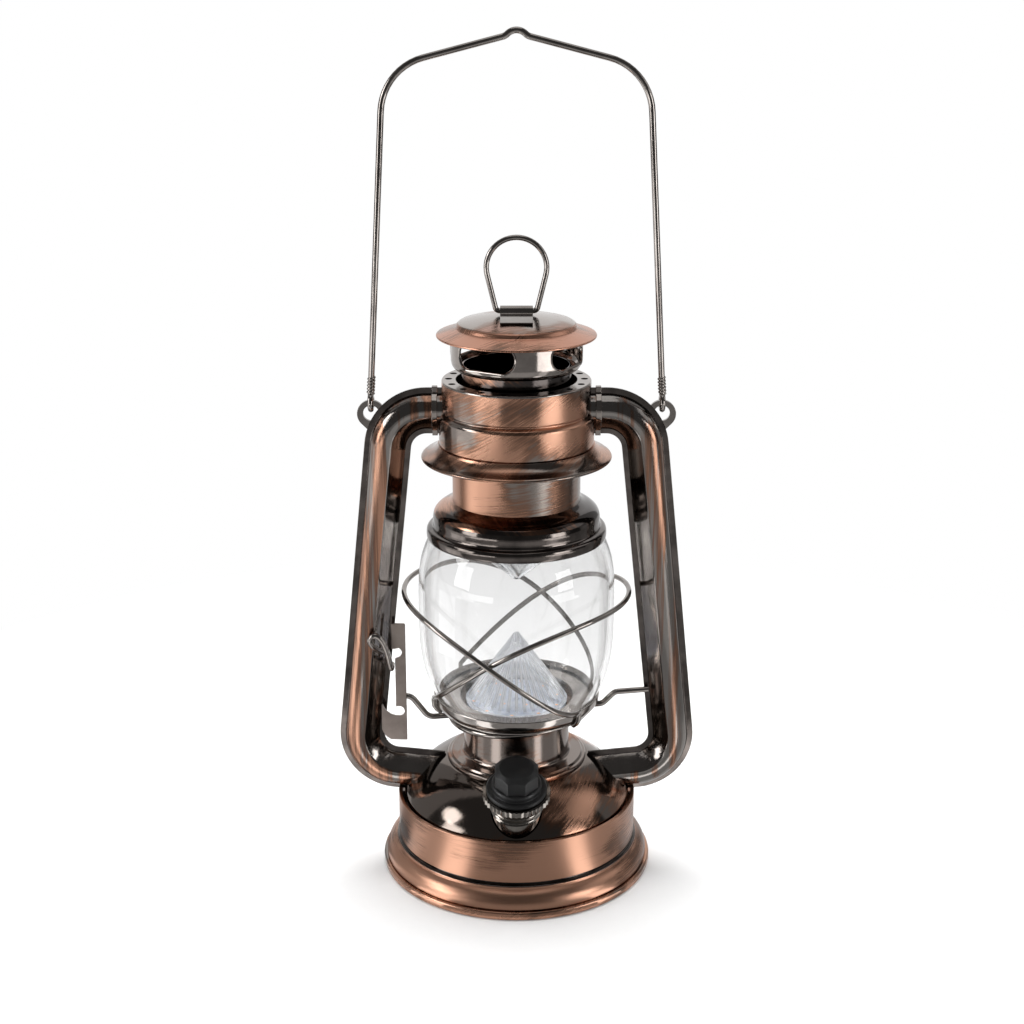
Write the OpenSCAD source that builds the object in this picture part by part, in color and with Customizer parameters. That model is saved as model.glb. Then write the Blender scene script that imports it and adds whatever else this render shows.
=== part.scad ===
// LED lantern in the style of a hurricane lamp: a round tank holding the battery,
// two hollow side tubes that carry the crown, a glass globe on a lifting gallery,
// a lifting chimney with hood and canopy, a carrying bail and a dimmer knob.
// The lantern stands on z = 0, its axis is z, its front with the knob is -y.

/* [Foot and tank] */
// Outer radius of the foot rim
foot_r = 57.5; // [56:0.5:62]
// Height of the foot rim
rim_h = 3.5; // [3.2:0.1:5]
// Outer radius of the tank wall
tank_r = 50.7; // [49:0.1:53]
// Height of the top edge of the tank wall
tank_top = 31.8; // [30:0.2:34]
// Height of the sloping foot above the rim
flare_h = 7.4; // [6:0.2:9]
// Radius of curvature of the sloping foot
flare_curve = 16; // [10:1:30]
// Rise of the dome above the tank edge
dome_h = 15.9; // [14:0.1:18]
// Radius of curvature of the dome
dome_curve = 34; // [28:1:60]
// Thickness of the large sheet metal pieces
sheet = 0.8; // [0.6:0.1:1]

/* [Neck and light] */
// Outer radius of the neck
neck_r = 22.3; // [21:0.1:23]
// Height of the neck above the dome
neck_h = 21.6; // [18:0.1:25]
// Distance of the stepped flange at the foot of the neck from the tank wall, seen from above
step_in = 21.1; // [20.7:0.1:22.5]
// Height of the ribbed light cone
cone_h = 29; // [24:0.5:31]
// Number of light emitting chips in the outer ring
led_outer = 10; // [8:1:12]
// Number of light emitting chips in the inner ring
led_inner = 5; // [3:1:6]

/* [Globe] */
// Outer radius of the gallery
gallery_r = 35; // [34.5:0.1:36]
// Height of the globe
globe_h = 74.7; // [70:0.1:80]
// Greatest outer radius of the globe
globe_r = 40.8; // [39.5:0.1:41.2]
// Outer radius of the lower edge of the globe
globe_low_r = 31.4; // [31:0.1:32]
// Height of the widest place of the globe above its lower edge
globe_belly = 41; // [38:0.5:44]
// Wall of the globe
glass_t = 2; // [1.4:0.1:2.2]

/* [Guard and lift lever] */
// Wire radius of the globe guard
guard_wire = 1.1; // [0.8:0.1:1.2]
// Radius of the inner guard hoop, seen from above
guard_r = 42.2; // [42:0.1:42.6]
// Reach of each guard hoop's far end from the lantern's axis
guard_reach = 46.8; // [46:0.1:47]
// Height of the guard's crossing above the gallery rim
guard_cross = 27.5; // [24:0.5:30]
// Height of the guard's far end above the gallery rim
guard_high = 45.5; // [42:0.5:50]
// Turn of the guard about the lantern's axis
guard_turn = 14; // [8:1:20]
// Wire radius of the lift lever
lever_wire = 1.3; // [1.1:0.05:1.4]
// Thickness of the latch plate
plate_t = 1.2; // [0.8:0.1:1.5]
// Distance of the latch plate from the lantern's axis
plate_x = 46.4; // [46.2:0.1:46.8]
// Wire radius of the latch hook
hook_wire = 1; // [0.8:0.1:1.1]

/* [Hood, chimney and canopy] */
// Outer radius of the hood's rolled rim
hood_r = 37; // [36.5:0.1:37.5]
// Overhang of the hood's rim beyond the upper edge of the globe
hood_over = 4; // [3.6:0.1:4.4]
// Height of the hood
hood_h = 15.1; // [14.5:0.1:17]
// Outer radius of the chimney tube
chimney_r = 26.1; // [25.5:0.1:26.4]
// Visible length of the chimney tube below the crown
chimney_show = 23.6; // [22:0.2:28]
// Outer radius of the draught tube through the crown
draught_r = 22; // [20.5:0.1:22.3]
// Outer radius of the vent collar
vent_r = 26.3; // [25.5:0.1:27]
// Height of the vent collar
vent_h = 14.7; // [13.5:0.1:16]
// Width of a vent window
window_w = 25; // [20:0.5:26]
// Height of a vent window
window_h = 9.4; // [7:0.2:10]
// Outer radius of the canopy brim
canopy_r = 32.1; // [31:0.1:34]
// Radius of the raised dome on the canopy
canopy_dome_r = 24.2; // [22:0.1:25]
// Rise of that dome
canopy_dome_h = 4.9; // [4:0.1:6]
// Wire radius of the lift ring
ring_wire = 1.1; // [0.9:0.05:1.2]
// Radius of the lift ring's round top
ring_r = 11.9; // [10.5:0.1:13]
// Height of the lift ring above its pivot
ring_h = 29; // [27:0.5:34]

/* [Crown and side tubes] */
// Outer radius of the crown's upper band
crown_r = 30.1; // [29.8:0.1:30.6]
// Outer radius of the crown's lower band
band_r = 31.4; // [31:0.1:32]
// Height of the crown
crown_h = 27.3; // [26:0.1:29]
// Outer radius of the crown's skirt
skirt_r = 38.7; // [37:0.1:40]
// Radius of the hole in the crown's ledge
ledge_hole_r = 24.4; // [24:0.1:24.8]
// Number of small holes in the ledge
ledge_holes = 18; // [12:1:20]
// Width of a side tube with its seams
tube_w = 19; // [18.5:0.1:19.5]
// Depth of one stamped half of a side tube
tube_d = 6.9; // [6:0.1:7.5]
// Thickness of the side tube sheet
tube_t = 0.6; // [0.5:0.05:0.7]
// Inner radius of the side tubes' bends
bend_r = 6.5; // [6:0.1:7]
// Distance of the upper bend from the lantern's axis
tube_high_x = 36.3; // [36:0.1:37]
// Distance of the lower bend from the lantern's axis
tube_low_x = 49.8; // [49:0.1:51]

/* [Bail] */
// Wire radius of the bail
bail_wire = 1.3; // [1.2:0.05:1.4]
// Height of the bail above its pivots
bail_h = 144.5; // [135:0.5:160]
// Radius of the bail's shoulders
bail_shoulder = 22; // [16:0.5:26]
// Inward lean of the bail's legs
bail_lean = 3.4; // [2:0.1:5]
// Slope of the bail's top
bail_slope = 14.4; // [10:0.2:18]
// Radius of the hole in a bail ear
ear_hole_r = 3.4; // [3.2:0.1:3.6]

/* [Dimmer knob] */
// Distance of the knob ring's centre inside the tank wall
knob_in = 8.9; // [8.5:0.1:9.1]
// Height of the knob ring above the dome's flat top
knob_up = 2.3; // [2:0.1:4]
// Forward tilt of the knob's axis
knob_tilt = 16; // [14:0.5:18]
// Width of the knob across its flats
knob_w = 17.4; // [15:0.2:18]
// Height of the knob above its ring
knob_h = 13.4; // [11:0.2:15]
// Radius of the knob's lower disc
knob_disc_r = 12.4; // [11:0.1:13]
// Outer radius of the knurled ring
knurl_r = 14; // [13:0.1:14.2]
// Number of teeth on the knurled ring
knurl_teeth = 44; // [30:1:60]
// Outer radius of the filler neck
filler_r = 10.2; // [10:0.05:10.3]

/* [Battery] */
// Diameter of a cell
cell_d = 14.5; // [14.3:0.1:14.6]
// Length of a cell with its button
cell_l = 50.5; // [50:0.1:51]
// Number of cells, side by side
cells = 4; // [2:1:4]
// Wall of the battery box
box_t = 1.6; // [1.2:0.1:2]

/* [Fits] */
// Gap between pieces that slide or lift off
slip = 0.3; // [0.2:0.05:0.4]
// Gap between round pieces that sit tight in each other
snug = 0.05; // [0.02:0.01:0.08]

/* [Hidden] */
$fn = 64;

// Radii that follow from a neighbour
globe_top_r = hood_r - hood_over;
knob_y = tank_r - knob_in;
step_r = tank_r - step_in;

// Heights, each worked out from the piece below it
wall_rim = 1.5;
groove_d = 1;
seat_z = tank_top + dome_h;
flange_t = 1.3;
step_t = 1;
neck_base = seat_z + flange_t + step_t;
neck_top = seat_z + neck_h;
hub_z = neck_top + slip;
skirt_drop = 5;
floor_z = neck_top + 5.7;
gallery_rim = floor_z + 2.5;
globe_z = floor_z + sheet;
globe_top = globe_z + globe_h;
hood_overlap = 4.2;
hood_z = globe_top - hood_overlap;
hood_top = hood_z + hood_h;
crown_z = hood_top + chimney_show;
crown_top = crown_z + crown_h;
band_z = crown_z + 14.1;
vent_z = crown_top + 4.7;
vent_top = vent_z + vent_h;

// Points on an arc about [cx, cz]
function arc(cx, cz, r, from, to, n) =
  [for (i = [0 : n]) [cx + r * cos(from + (to - from) * i / n), cz + r * sin(from + (to - from) * i / n)]];

// Points on the arc of radius r from a to b that bulges to the left of the way from b to a
function arc_between(a, b, r, n) =
  let (mid = (a + b) / 2, half = norm(b - a) / 2, dir = (b - a) / norm(b - a),
       centre = mid + sqrt(r * r - half * half) * [-dir[1], dir[0]],
       t0 = atan2(a[1] - centre[1], a[0] - centre[0]),
       t1 = atan2(b[1] - centre[1], b[0] - centre[0]),
       span = t1 < t0 ? t1 + 360 - t0 : t1 - t0)
  arc(centre[0], centre[1], r, t0, t0 + span, n);

// Order of a list turned about
function reversed(list) = [for (i = [len(list) - 1 : -1 : 0]) list[i]];

// A ring of rectangular section
module ring(r_out, r_in, z, h) {
  translate([0, 0, z])
    difference() {
      cylinder(r = r_out, h = h);
      translate([0, 0, -h]) cylinder(r = r_in, h = 3 * h);
    }
}

// Points along a wire in the xz plane, which starts at a point in a direction.
// A step of [length] runs straight, a step of [radius, turn] bends, upward if turn is positive.
function bent(at, dir, r, turn) =
  let (side = sign(turn)) at + side * r * ([-sin(dir), cos(dir)] + [sin(dir + turn), -cos(dir + turn)]);
function trace(steps, at, dir, i = 0) =
  i == len(steps) ? [at] :
  let (s = steps[i])
  len(s) == 1 ? concat([at], trace(steps, at + s[0] * [cos(dir), sin(dir)], dir, i + 1)) :
  let (n = ceil(abs(s[1]) / 14))
  concat([for (k = [0 : n - 1]) bent(at, dir, s[0], s[1] * k / n + sign(s[1]) * 0.001)],
    trace(steps, bent(at, dir, s[0], s[1]), dir + s[1], i + 1));
function spread(line, y) = [for (p = line) [p[0], y, p[1]]];

// Round tube along a list of points in space, as one closed skin
function unit(v) = v / norm(v);
function along(p, i) = unit(p[min(i + 1, len(p) - 1)] - p[max(i - 1, 0)]);
function side_axes(p, last, i, out) =
  i == len(p) ? out :
  let (t = along(p, i), n = unit(last - (last * t) * t)) side_axes(p, n, i + 1, concat(out, [n]));
function rounded(p) =
  concat([p[0]],
    [for (i = [0 : len(p) - 2]) each [p[i] * 0.75 + p[i + 1] * 0.25, p[i] * 0.25 + p[i + 1] * 0.75]],
    [p[len(p) - 1]]);
module tube_along(p, r, sides, first = [0, 0, 1]) {
  axes = side_axes(p, first, 0, []);
  rings = len(p);
  points = [for (i = [0 : rings - 1]) for (k = [0 : sides - 1])
    let (t = along(p, i), n = axes[i], b = cross(t, n), a = 360 * k / sides)
    p[i] + r * (cos(a) * n + sin(a) * b)];
  skin = [for (i = [0 : rings - 2]) for (k = [0 : sides - 1])
    let (a = i * sides + k, b = i * sides + (k + 1) % sides)
    each [[a, a + sides, b], [b, a + sides, b + sides]]];
  start_cap = [for (k = [1 : sides - 2]) [0, k, k + 1]];
  end_cap = [for (k = [1 : sides - 2]) [(rings - 1) * sides, (rings - 1) * sides + k + 1, (rings - 1) * sides + k]];
  polyhedron(points = points, faces = concat(skin, start_cap, end_cap), convexity = 8);
}

// Foot and base

plate_z = 2.2;
plate_top = plate_z + sheet;
rim_w = 3;
pitch = cell_d + 1;
bay_x = cell_l / 2 + 4;
bay_y = cells * pitch / 2 + 0.5;
door_x = bay_x - 1;
door_y = bay_y - 1;
door_t = 1.4;
hinge_r = 1;
barrel_r = 1.9;
hinge_z = plate_top + hinge_r + snug;
hinge_y = door_y + 2.4;
hinge_room = 1.2;
screw_x = bay_x + box_t + 4;
screw_y = bay_y - 8;
screw_r = 1.2;

// Bottom plate with the rolled rim that the lantern stands on
module base_plate() {
  color("#5b4a40") difference() {
    rotate_extrude() polygon(concat(
      [[0, plate_z], [foot_r - rim_w, plate_z], [foot_r - rim_w, 0], [foot_r - rim_h / 4, 0]],
      arc(foot_r - rim_h / 4, rim_h / 4, rim_h / 4, -60, 0, 4),
      arc(foot_r - rim_h / 4, rim_h * 3 / 4, rim_h / 4, 0, 90, 6),
      [[foot_r - rim_w, rim_h], [foot_r - rim_w, plate_top], [0, plate_top]]));
    translate([-door_x - slip, -door_y - slip, 0])
      cube([2 * (door_x + slip), door_y + slip + hinge_y + barrel_r + hinge_room, plate_top + 1]);
    for (x = [-screw_x, screw_x], y = [-screw_y, screw_y])
      translate([x, y, 0]) cylinder(r = screw_r + slip, h = plate_top + 1, $fn = 32);
  }
}

// Tank wall with its sloping foot
module tank_wall() {
  lift = rim_h + slip;
  reach = foot_r - 1.5;
  fillet = 0.5;
  outer = arc_between([reach, lift], [tank_r + fillet, lift + flare_h], flare_curve, 10);
  inner = arc_between([reach - 1.2 * sheet, lift], [tank_r - sheet, lift + flare_h], flare_curve, 10);
  color("#8a5a3c") rotate_extrude() polygon(concat(
    outer,
    [[tank_r, lift + flare_h + fillet], [tank_r, tank_top - 0.3], [tank_r - 0.3, tank_top],
     [tank_r - wall_rim + 0.3, tank_top], [tank_r - wall_rim, tank_top - 0.3], [tank_r - wall_rim, tank_top - 3],
     [tank_r - sheet, tank_top - 4]],
    reversed(inner)));
}

// A point given in the knob's frame
function knob_at(x, y, z) = [x, -knob_y + y * cos(knob_tilt) - z * sin(knob_tilt),
  seat_z + knob_up + y * sin(knob_tilt) + z * cos(knob_tilt)];

// The frame of the knob: the ring's centre, with z along the knob's axis
module knob_frame() {
  translate([0, -knob_y, seat_z + knob_up]) rotate([knob_tilt, 0, 0]) children();
}

ridge = 0.4;
dome_r = tank_r - wall_rim - groove_d;
dome_low = tank_top - 0.6;
dome_hole = 18;
function dome_line() = arc_between([dome_r, dome_low], [step_r, seat_z], dome_curve, 16);

// Dome that closes the tank, with its edge inside the wall
module tank_dome() {
  inner = [for (p = dome_line()) p - [sheet * 0.7, sheet * 0.7]];
  edge = tank_r - wall_rim - snug;
  color("#7b5038") difference() {
    rotate_extrude() polygon(concat(
      [[edge, tank_top - 8], [edge, dome_low - groove_d], [dome_r, dome_low - groove_d]],
      dome_line(),
      [[dome_hole, seat_z], [dome_hole, seat_z - sheet]],
      reversed(inner),
      [[dome_r - sheet, dome_low - groove_d - sheet], [edge - sheet, dome_low - groove_d - sheet],
       [edge - sheet, tank_top - 8]]));
    knob_frame() translate([0, 0, -30]) cylinder(r = filler_r + ridge + snug, h = 40);
  }
}

// Battery

box_floor = plate_top;
cell_z = box_floor + 1.8 + cell_d / 2;
box_top = cell_z + cell_d / 2 + 0.6;

// Plastic box for the cells, open below, with feet for the screws
module battery_box() {
  color("#2b2b2d") difference() {
    union() {
      translate([-bay_x - box_t, -bay_y - box_t, box_floor])
        cube([2 * (bay_x + box_t), 2 * (bay_y + box_t), box_top + box_t - box_floor]);
      for (x = [-1, 1], y = [-screw_y, screw_y])
        translate([x > 0 ? bay_x : -screw_x - 4, y - 4, box_floor]) cube([screw_x + 4 - bay_x, 8, 5]);
    }
    translate([-bay_x, -bay_y, box_floor - 1]) cube([2 * bay_x, 2 * bay_y, box_top - box_floor + 1]);
    translate([-bay_x - 2 * box_t, hinge_y - barrel_r - slip, box_floor - 1])
      cube([2 * bay_x + 4 * box_t, 3 * barrel_r, hinge_z + barrel_r + slip - box_floor + 1]);
    for (x = [-screw_x, screw_x], y = [-screw_y, screw_y])
      translate([x, y, 0]) cylinder(r = screw_r + snug, h = box_floor + 4, $fn = 32);
    translate([lead_x, 0, box_top - 1]) cylinder(r = 2, h = box_t + 2, $fn = 32);
  }
}

// Place of each cell, with every second one turned about
module each_cell() {
  for (i = [0 : cells - 1])
    translate([0, (i - (cells - 1) / 2) * pitch, cell_z])
      rotate([0, 0, i % 2 == 0 ? 0 : 180]) children();
}

module battery_cells() {
  button_l = 1;
  button_r = 2.7;
  color("#3f6f4a") each_cell() rotate([0, 90, 0]) union() {
    translate([0, 0, -cell_l / 2]) cylinder(r = cell_d / 2, h = cell_l - button_l, $fn = 48);
    translate([0, 0, cell_l / 2 - button_l]) cylinder(r = button_r, h = button_l, $fn = 32);
  }
}

// Bent leaf at the flat end of each cell
module contact_springs() {
  leaf_w = 8;
  leaf_t = 0.5;
  color("#c9c6bd") each_cell() translate([0, leaf_w / 2, 0]) rotate([90, 0, 0]) linear_extrude(leaf_w)
    polygon([[-bay_x, -5], [-bay_x + leaf_t, -5], [-bay_x + leaf_t, 3], [-cell_l / 2 - leaf_t, -1],
      [-cell_l / 2, -1], [-cell_l / 2, 0], [-bay_x + leaf_t, 5], [-bay_x, 5]]);
}

// Plate at the button end of each cell
module contact_plates() {
  plate_w = 9;
  leaf_t = 0.5;
  color("#c9c6bd") each_cell() union() {
    translate([bay_x - leaf_t, -plate_w / 2, -plate_w / 2]) cube([leaf_t, plate_w, plate_w]);
    translate([cell_l / 2, 0, 0]) rotate([0, 90, 0]) cylinder(r = 2.2, h = bay_x - leaf_t - cell_l / 2, $fn = 32);
  }
}

// Hinged lid of the battery bay
module battery_door() {
  barrel_x = door_x / 2;
  color("#3a3836") difference() {
    union() {
      translate([-door_x, -door_y, plate_top - door_t]) cube([2 * door_x, 2 * door_y, door_t]);
      for (x = [-barrel_x, barrel_x - 6]) {
        translate([x, hinge_y, hinge_z]) rotate([0, 90, 0]) cylinder(r = barrel_r, h = 6, $fn = 48);
        translate([x, door_y - 1, plate_top - door_t]) cube([6, hinge_y - door_y + 1, door_t]);
      }
      for (y = [-door_y / 2, door_y / 2])
        translate([-door_x + 4, y - 1, plate_top]) cube([2 * door_x - 8, 2, 1.4]);
    }
    translate([-door_x, hinge_y, hinge_z]) rotate([0, 90, 0])
      cylinder(r = hinge_r + snug, h = 2 * door_x, $fn = 48);
  }
}

// Hinge pin of the lid, held by two posts on the base plate
module door_pin() {
  post_t = 3;
  end_x = door_x + slip + post_t;
  color("#8f8f92") union() {
    translate([-end_x, hinge_y, hinge_z]) rotate([0, 90, 0]) cylinder(r = hinge_r, h = 2 * end_x, $fn = 48);
    for (x = [-end_x, end_x - post_t])
      translate([x, hinge_y - barrel_r, plate_top]) cube([post_t, 2 * barrel_r, hinge_z + barrel_r - plate_top]);
  }
}

module base_screws() {
  head_r = 2.5;
  head_t = 1.1;
  slot_w = 0.6;
  color("#6f6a66") for (x = [-screw_x, screw_x], y = [-screw_y, screw_y])
    translate([x, y, 0]) difference() {
      union() {
        translate([0, 0, plate_z - head_t]) cylinder(r = head_r, h = head_t, $fn = 32);
        translate([0, 0, plate_z]) cylinder(r = screw_r, h = sheet + 3.6, $fn = 32);
      }
      translate([-head_r, -slot_w / 2, plate_z - head_t - 0.1]) cube([2 * head_r, slot_w, 0.6]);
    }
}

// Neck and light

lead_x = 8;
lead_r = 0.8;
lead_gap = 0.5;
holder_t = 2.7;
board_t = 1.2;
board_z = neck_top + holder_t;
chip_z = board_z + board_t;
cone_r = neck_r - 0.4;
lens_t = 1.2;
hub_r = neck_r + 2.5;

// Neck tube on its stepped flange, closed above
module neck_collar() {
  shelf_r = hub_r + 0.7;
  color("#7d5a45") rotate_extrude() polygon([
    [dome_hole, seat_z], [step_r, seat_z], [step_r, seat_z + flange_t - 0.4], [step_r - 0.4, seat_z + flange_t],
    [step_r - 1.6, seat_z + flange_t], [step_r - 1.6, neck_base - 0.4], [step_r - 2, neck_base],
    [neck_r, neck_base], [neck_r, neck_top - sheet], [shelf_r, neck_top - sheet], [shelf_r, neck_top],
    [6, neck_top], [6, neck_top - sheet], [neck_r - sheet, neck_top - sheet],
    [neck_r - sheet, neck_base - sheet], [dome_hole, neck_base - sheet]]);
}

module led_holder() {
  color("#3b3735") ring(neck_r - 0.8, 5, neck_top, holder_t);
}

module led_board() {
  color("#dfe6f2") ring(neck_r - 1.2, 1.5, board_z, board_t);
}

module led_chips() {
  chip = 3;
  chip_t = 0.7;
  outer_row = 16;
  inner_row = 8;
  color("#f2d27a") for (row = [[led_outer, outer_row], [led_inner, inner_row]])
    for (i = [0 : row[0] - 1])
      rotate([0, 0, 360 * i / row[0] + 12]) translate([row[1] - chip / 2, -chip / 2, chip_z])
        cube([chip, chip, chip_t]);
}

// Hollow cone that spreads the light
module light_cone() {
  foot_t = 1;
  low = chip_z + foot_t;
  tip_r = 1.5;
  color("#e8eef4", 0.6) rotate_extrude() polygon([
    [cone_r - 3, chip_z], [cone_r, chip_z], [cone_r, low], [cone_r - 0.7, low],
    [tip_r, low + cone_h - 0.6], [tip_r - 0.6, low + cone_h], [0, low + cone_h],
    [0, low + cone_h - 2 * lens_t], [cone_r - 3, low]]);
}

// Leads: the red one from the board to the battery box, the black ones by way of the dimmer
module lead_red() {
  color("#a33027") tube_along(rounded(rounded([[3, 0, board_z - snug], [3, 0, neck_top - 12], [5, 2, seat_z - 6],
    [lead_x, 1, box_top + 10], [lead_x, 0, box_top - 0.8]])), lead_r, 8, [0, 1, 0]);
}

module lead_black() {
  tag = body_top - body_h - lead_gap;
  color("#1d1d1f") union() {
    tube_along(rounded(rounded([[-3, 0, board_z - snug], [-3, 0, neck_top - 14], [-5, -12, seat_z - 10],
      knob_at(-4, 3, tag - 7), knob_at(-4, 0, tag)])), lead_r, 8, [1, 0, 0]);
    tube_along(rounded(rounded([knob_at(4, 0, tag), knob_at(4, 3, tag - 7), [lead_x + 3, -14, box_top + 8],
      [lead_x + 3, -8, box_top + box_t + lead_gap]])), lead_r, 8, [1, 0, 0]);
  }
}

// Dimmer, in the knob's frame

neck_cap_t = 1.2;
knurl_t = 2.4;
filler_top = -knurl_t / 2;
bushing_r = 3.5;
shaft_r = 3;
shaft_fit = 0.05;
body_r = 8;
body_h = 9;
nut_h = 2;
body_top = filler_top - neck_cap_t;

// Threaded neck on the tank that carries the dimmer
module filler_neck() {
  ridge_gap = 2.2;
  length = 15.8;
  ridges = [for (i = [0 : 2]) each [[filler_r, -3 - ridge_gap * i], [filler_r + ridge, -3.6 - ridge_gap * i],
    [filler_r + ridge, -4 - ridge_gap * i], [filler_r, -4.6 - ridge_gap * i]]];
  color("#8d8882") knob_frame() rotate_extrude() polygon(concat(
    [[bushing_r + snug, filler_top], [filler_r, filler_top]], ridges,
    [[filler_r, filler_top - length], [filler_r - 1, filler_top - length], [filler_r - 1, body_top],
     [bushing_r + snug, body_top]]));
}

// Knurled ring round the foot of the knob
module knurled_ring() {
  tooth = 0.5;
  color("#5c5a5c") knob_frame() difference() {
    translate([0, 0, filler_top]) linear_extrude(knurl_t)
      polygon([for (i = [0 : 2 * knurl_teeth - 1]) let (r = knurl_r - (i % 2) * tooth, a = 180 * i / knurl_teeth)
        [r * cos(a), r * sin(a)]]);
    translate([0, 0, -10]) cylinder(r = 7, h = 20);
  }
}

module dimmer_body() {
  bushing_top = filler_top + nut_h + 0.6;
  color("#4a4d52") knob_frame() difference() {
    union() {
      translate([0, 0, body_top - body_h]) cylinder(r = body_r, h = body_h);
      translate([0, 0, body_top - 1]) cylinder(r = bushing_r, h = bushing_top - body_top + 1);
    }
    translate([0, 0, body_top - 5]) cylinder(r = shaft_r + shaft_fit, h = 20);
  }
}

module dimmer_nut() {
  nut_r = 5.5;
  color("#b9b4a8") knob_frame() translate([0, 0, filler_top]) difference() {
    cylinder(r = nut_r, h = nut_h, $fn = 6);
    translate([0, 0, -1]) cylinder(r = bushing_r + snug, h = nut_h + 2);
  }
}

module dimmer_shaft() {
  low = body_top - 5 + slip;
  color("#c4c4c6") knob_frame() translate([0, 0, low]) cylinder(r = shaft_r, h = knob_h - 3 - low);
}

// Eight sided knob with a round collar and a disc below
module knob() {
  disc_z = knurl_t / 2 + slip;
  disc_t = 1.7;
  collar_r = knob_w / 2 + 1.4;
  collar_h = 4.6;
  chamfer = 1.2;
  flat_r = knob_w / 2 / cos(22.5);
  color("#1b1c1d") knob_frame() difference() {
    union() {
      translate([0, 0, disc_z]) rotate_extrude() polygon([[0, 0], [knob_disc_r, 0], [knob_disc_r, disc_t - 0.5],
        [knob_disc_r - 0.5, disc_t], [collar_r, disc_t], [collar_r, collar_h - 1], [collar_r - 1.8, collar_h],
        [0, collar_h]]);
      intersection() {
        translate([0, 0, disc_z]) rotate([0, 0, 22.5]) cylinder(r = flat_r, h = knob_h - disc_z, $fn = 8);
        translate([0, 0, disc_z]) rotate_extrude()
          polygon([[0, 0], [flat_r + 1, 0], [flat_r + 1, knob_h - disc_z - 2 * chamfer],
            [flat_r - 2 * chamfer, knob_h - disc_z], [0, knob_h - disc_z]]);
      }
    }
    cylinder(r = shaft_r + snug, h = knob_h - 3 + snug);
    cylinder(r = 6.5, h = filler_top + nut_h + 1.2);
  }
}

// Side tubes

tube_low_z = tank_top + 25.1;
tube_high_z = crown_z - 1.8;
lean = atan2(tube_low_x - tube_high_x, tube_high_z - tube_low_z);
leg_l = norm([tube_low_x - tube_high_x, tube_high_z - tube_low_z]);
tube_out = bend_r + tube_w;
tube_dip = 6;
seam_in = 2;
seam_out = 2.5;

// Section of one stamped half: across from the inner seam to the outer one, and its depth
function half_outer() = [[0, tube_t], [seam_in, tube_t], [seam_in + 0.6, tube_t + 1], [7.8, tube_d - 0.7],
  [8.8, tube_d - 0.2], [tube_w - seam_out - 1.3, tube_d], [tube_w - seam_out - 0.3, tube_d - 0.7],
  [tube_w - seam_out, tube_t], [tube_w, tube_t]];
function half_inner() = [[tube_w, 0], [tube_w - seam_out - tube_t, 0],
  [tube_w - seam_out - 0.3 - tube_t, tube_d - 0.7 - tube_t / 2], [tube_w - seam_out - 1.3 - tube_t / 2, tube_d - tube_t],
  [8.8 + tube_t / 4, tube_d - 0.2 - tube_t], [7.8 + tube_t / 2, tube_d - 0.7 - tube_t],
  [seam_in + 0.6 + tube_t, tube_t + 0.4], [seam_in + tube_t / 2, 0], [0, 0]];
module half_section(front) {
  polygon([for (p = concat(half_outer(), half_inner())) [p[0] + bend_r, front * p[1]]]);
}

// One half of the left tube, from the crown to the dome; front is 1 or -1
module tube_run(front) {
  high_turn = 90 - lean;
  low_turn = 90 + lean - tube_dip;
  translate([-tube_high_x, 0, tube_high_z]) rotate([90, 0, 0]) {
    rotate([0, 0, 90]) rotate([90, 0, 0]) linear_extrude(tube_high_x) half_section(front);
    rotate([0, 0, 90]) rotate_extrude(angle = high_turn) half_section(front);
    rotate([0, 0, 180 - lean]) translate([0, leg_l, 0]) rotate([90, 0, 0]) linear_extrude(leg_l) half_section(front);
  }
  translate([-tube_low_x, 0, tube_low_z]) rotate([90, 0, 0]) {
    rotate([0, 0, 180 - lean]) rotate_extrude(angle = low_turn) half_section(front);
    rotate([0, 0, 270 - tube_dip]) translate([0, tube_low_x, 0]) rotate([90, 0, 0])
      linear_extrude(tube_low_x) half_section(front);
  }
}

// What the tubes run against: the crown and the tank
module tube_limits() {
  cylinder(r = crown_r + snug, h = 2 * crown_top);
  cylinder(r = band_r + snug, h = band_z);
  rotate_extrude() polygon(concat(
    [[0, 0], [tank_r + snug, 0], [tank_r + snug, tank_top + snug], [dome_r + 1, tank_top + snug]],
    [for (p = dome_line()) p + [snug, snug]],
    [[0, seat_z + snug]]));
}

pivot_x = 51.6;
pivot_z = neck_top + 8.8;
pivot_fit = 0.05;
lug_r = 3.2;
lug_t = 1.2;

module tube_half(front) {
  color(front > 0 ? "#6d5a50" : "#544a45") difference() {
    tube_run(front);
    tube_limits();
  }
}

module tube_front_left() { tube_half(1); }
module tube_rear_left() { tube_half(-1); }
module tube_front_right() { mirror([1, 0, 0]) tube_half(1); }

// The right rear half carries the lug in which the lift lever turns
module tube_rear_right() {
  color("#544a45") difference() {
    union() {
      mirror([1, 0, 0]) tube_half(-1);
      translate([pivot_x, lug_t, pivot_z]) rotate([90, 0, 0]) cylinder(r = lug_r, h = lug_t);
    }
    translate([pivot_x, 2 * lug_t, pivot_z]) rotate([90, 0, 0]) cylinder(r = lever_wire + pivot_fit, h = 3 * lug_t);
  }
}

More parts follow.
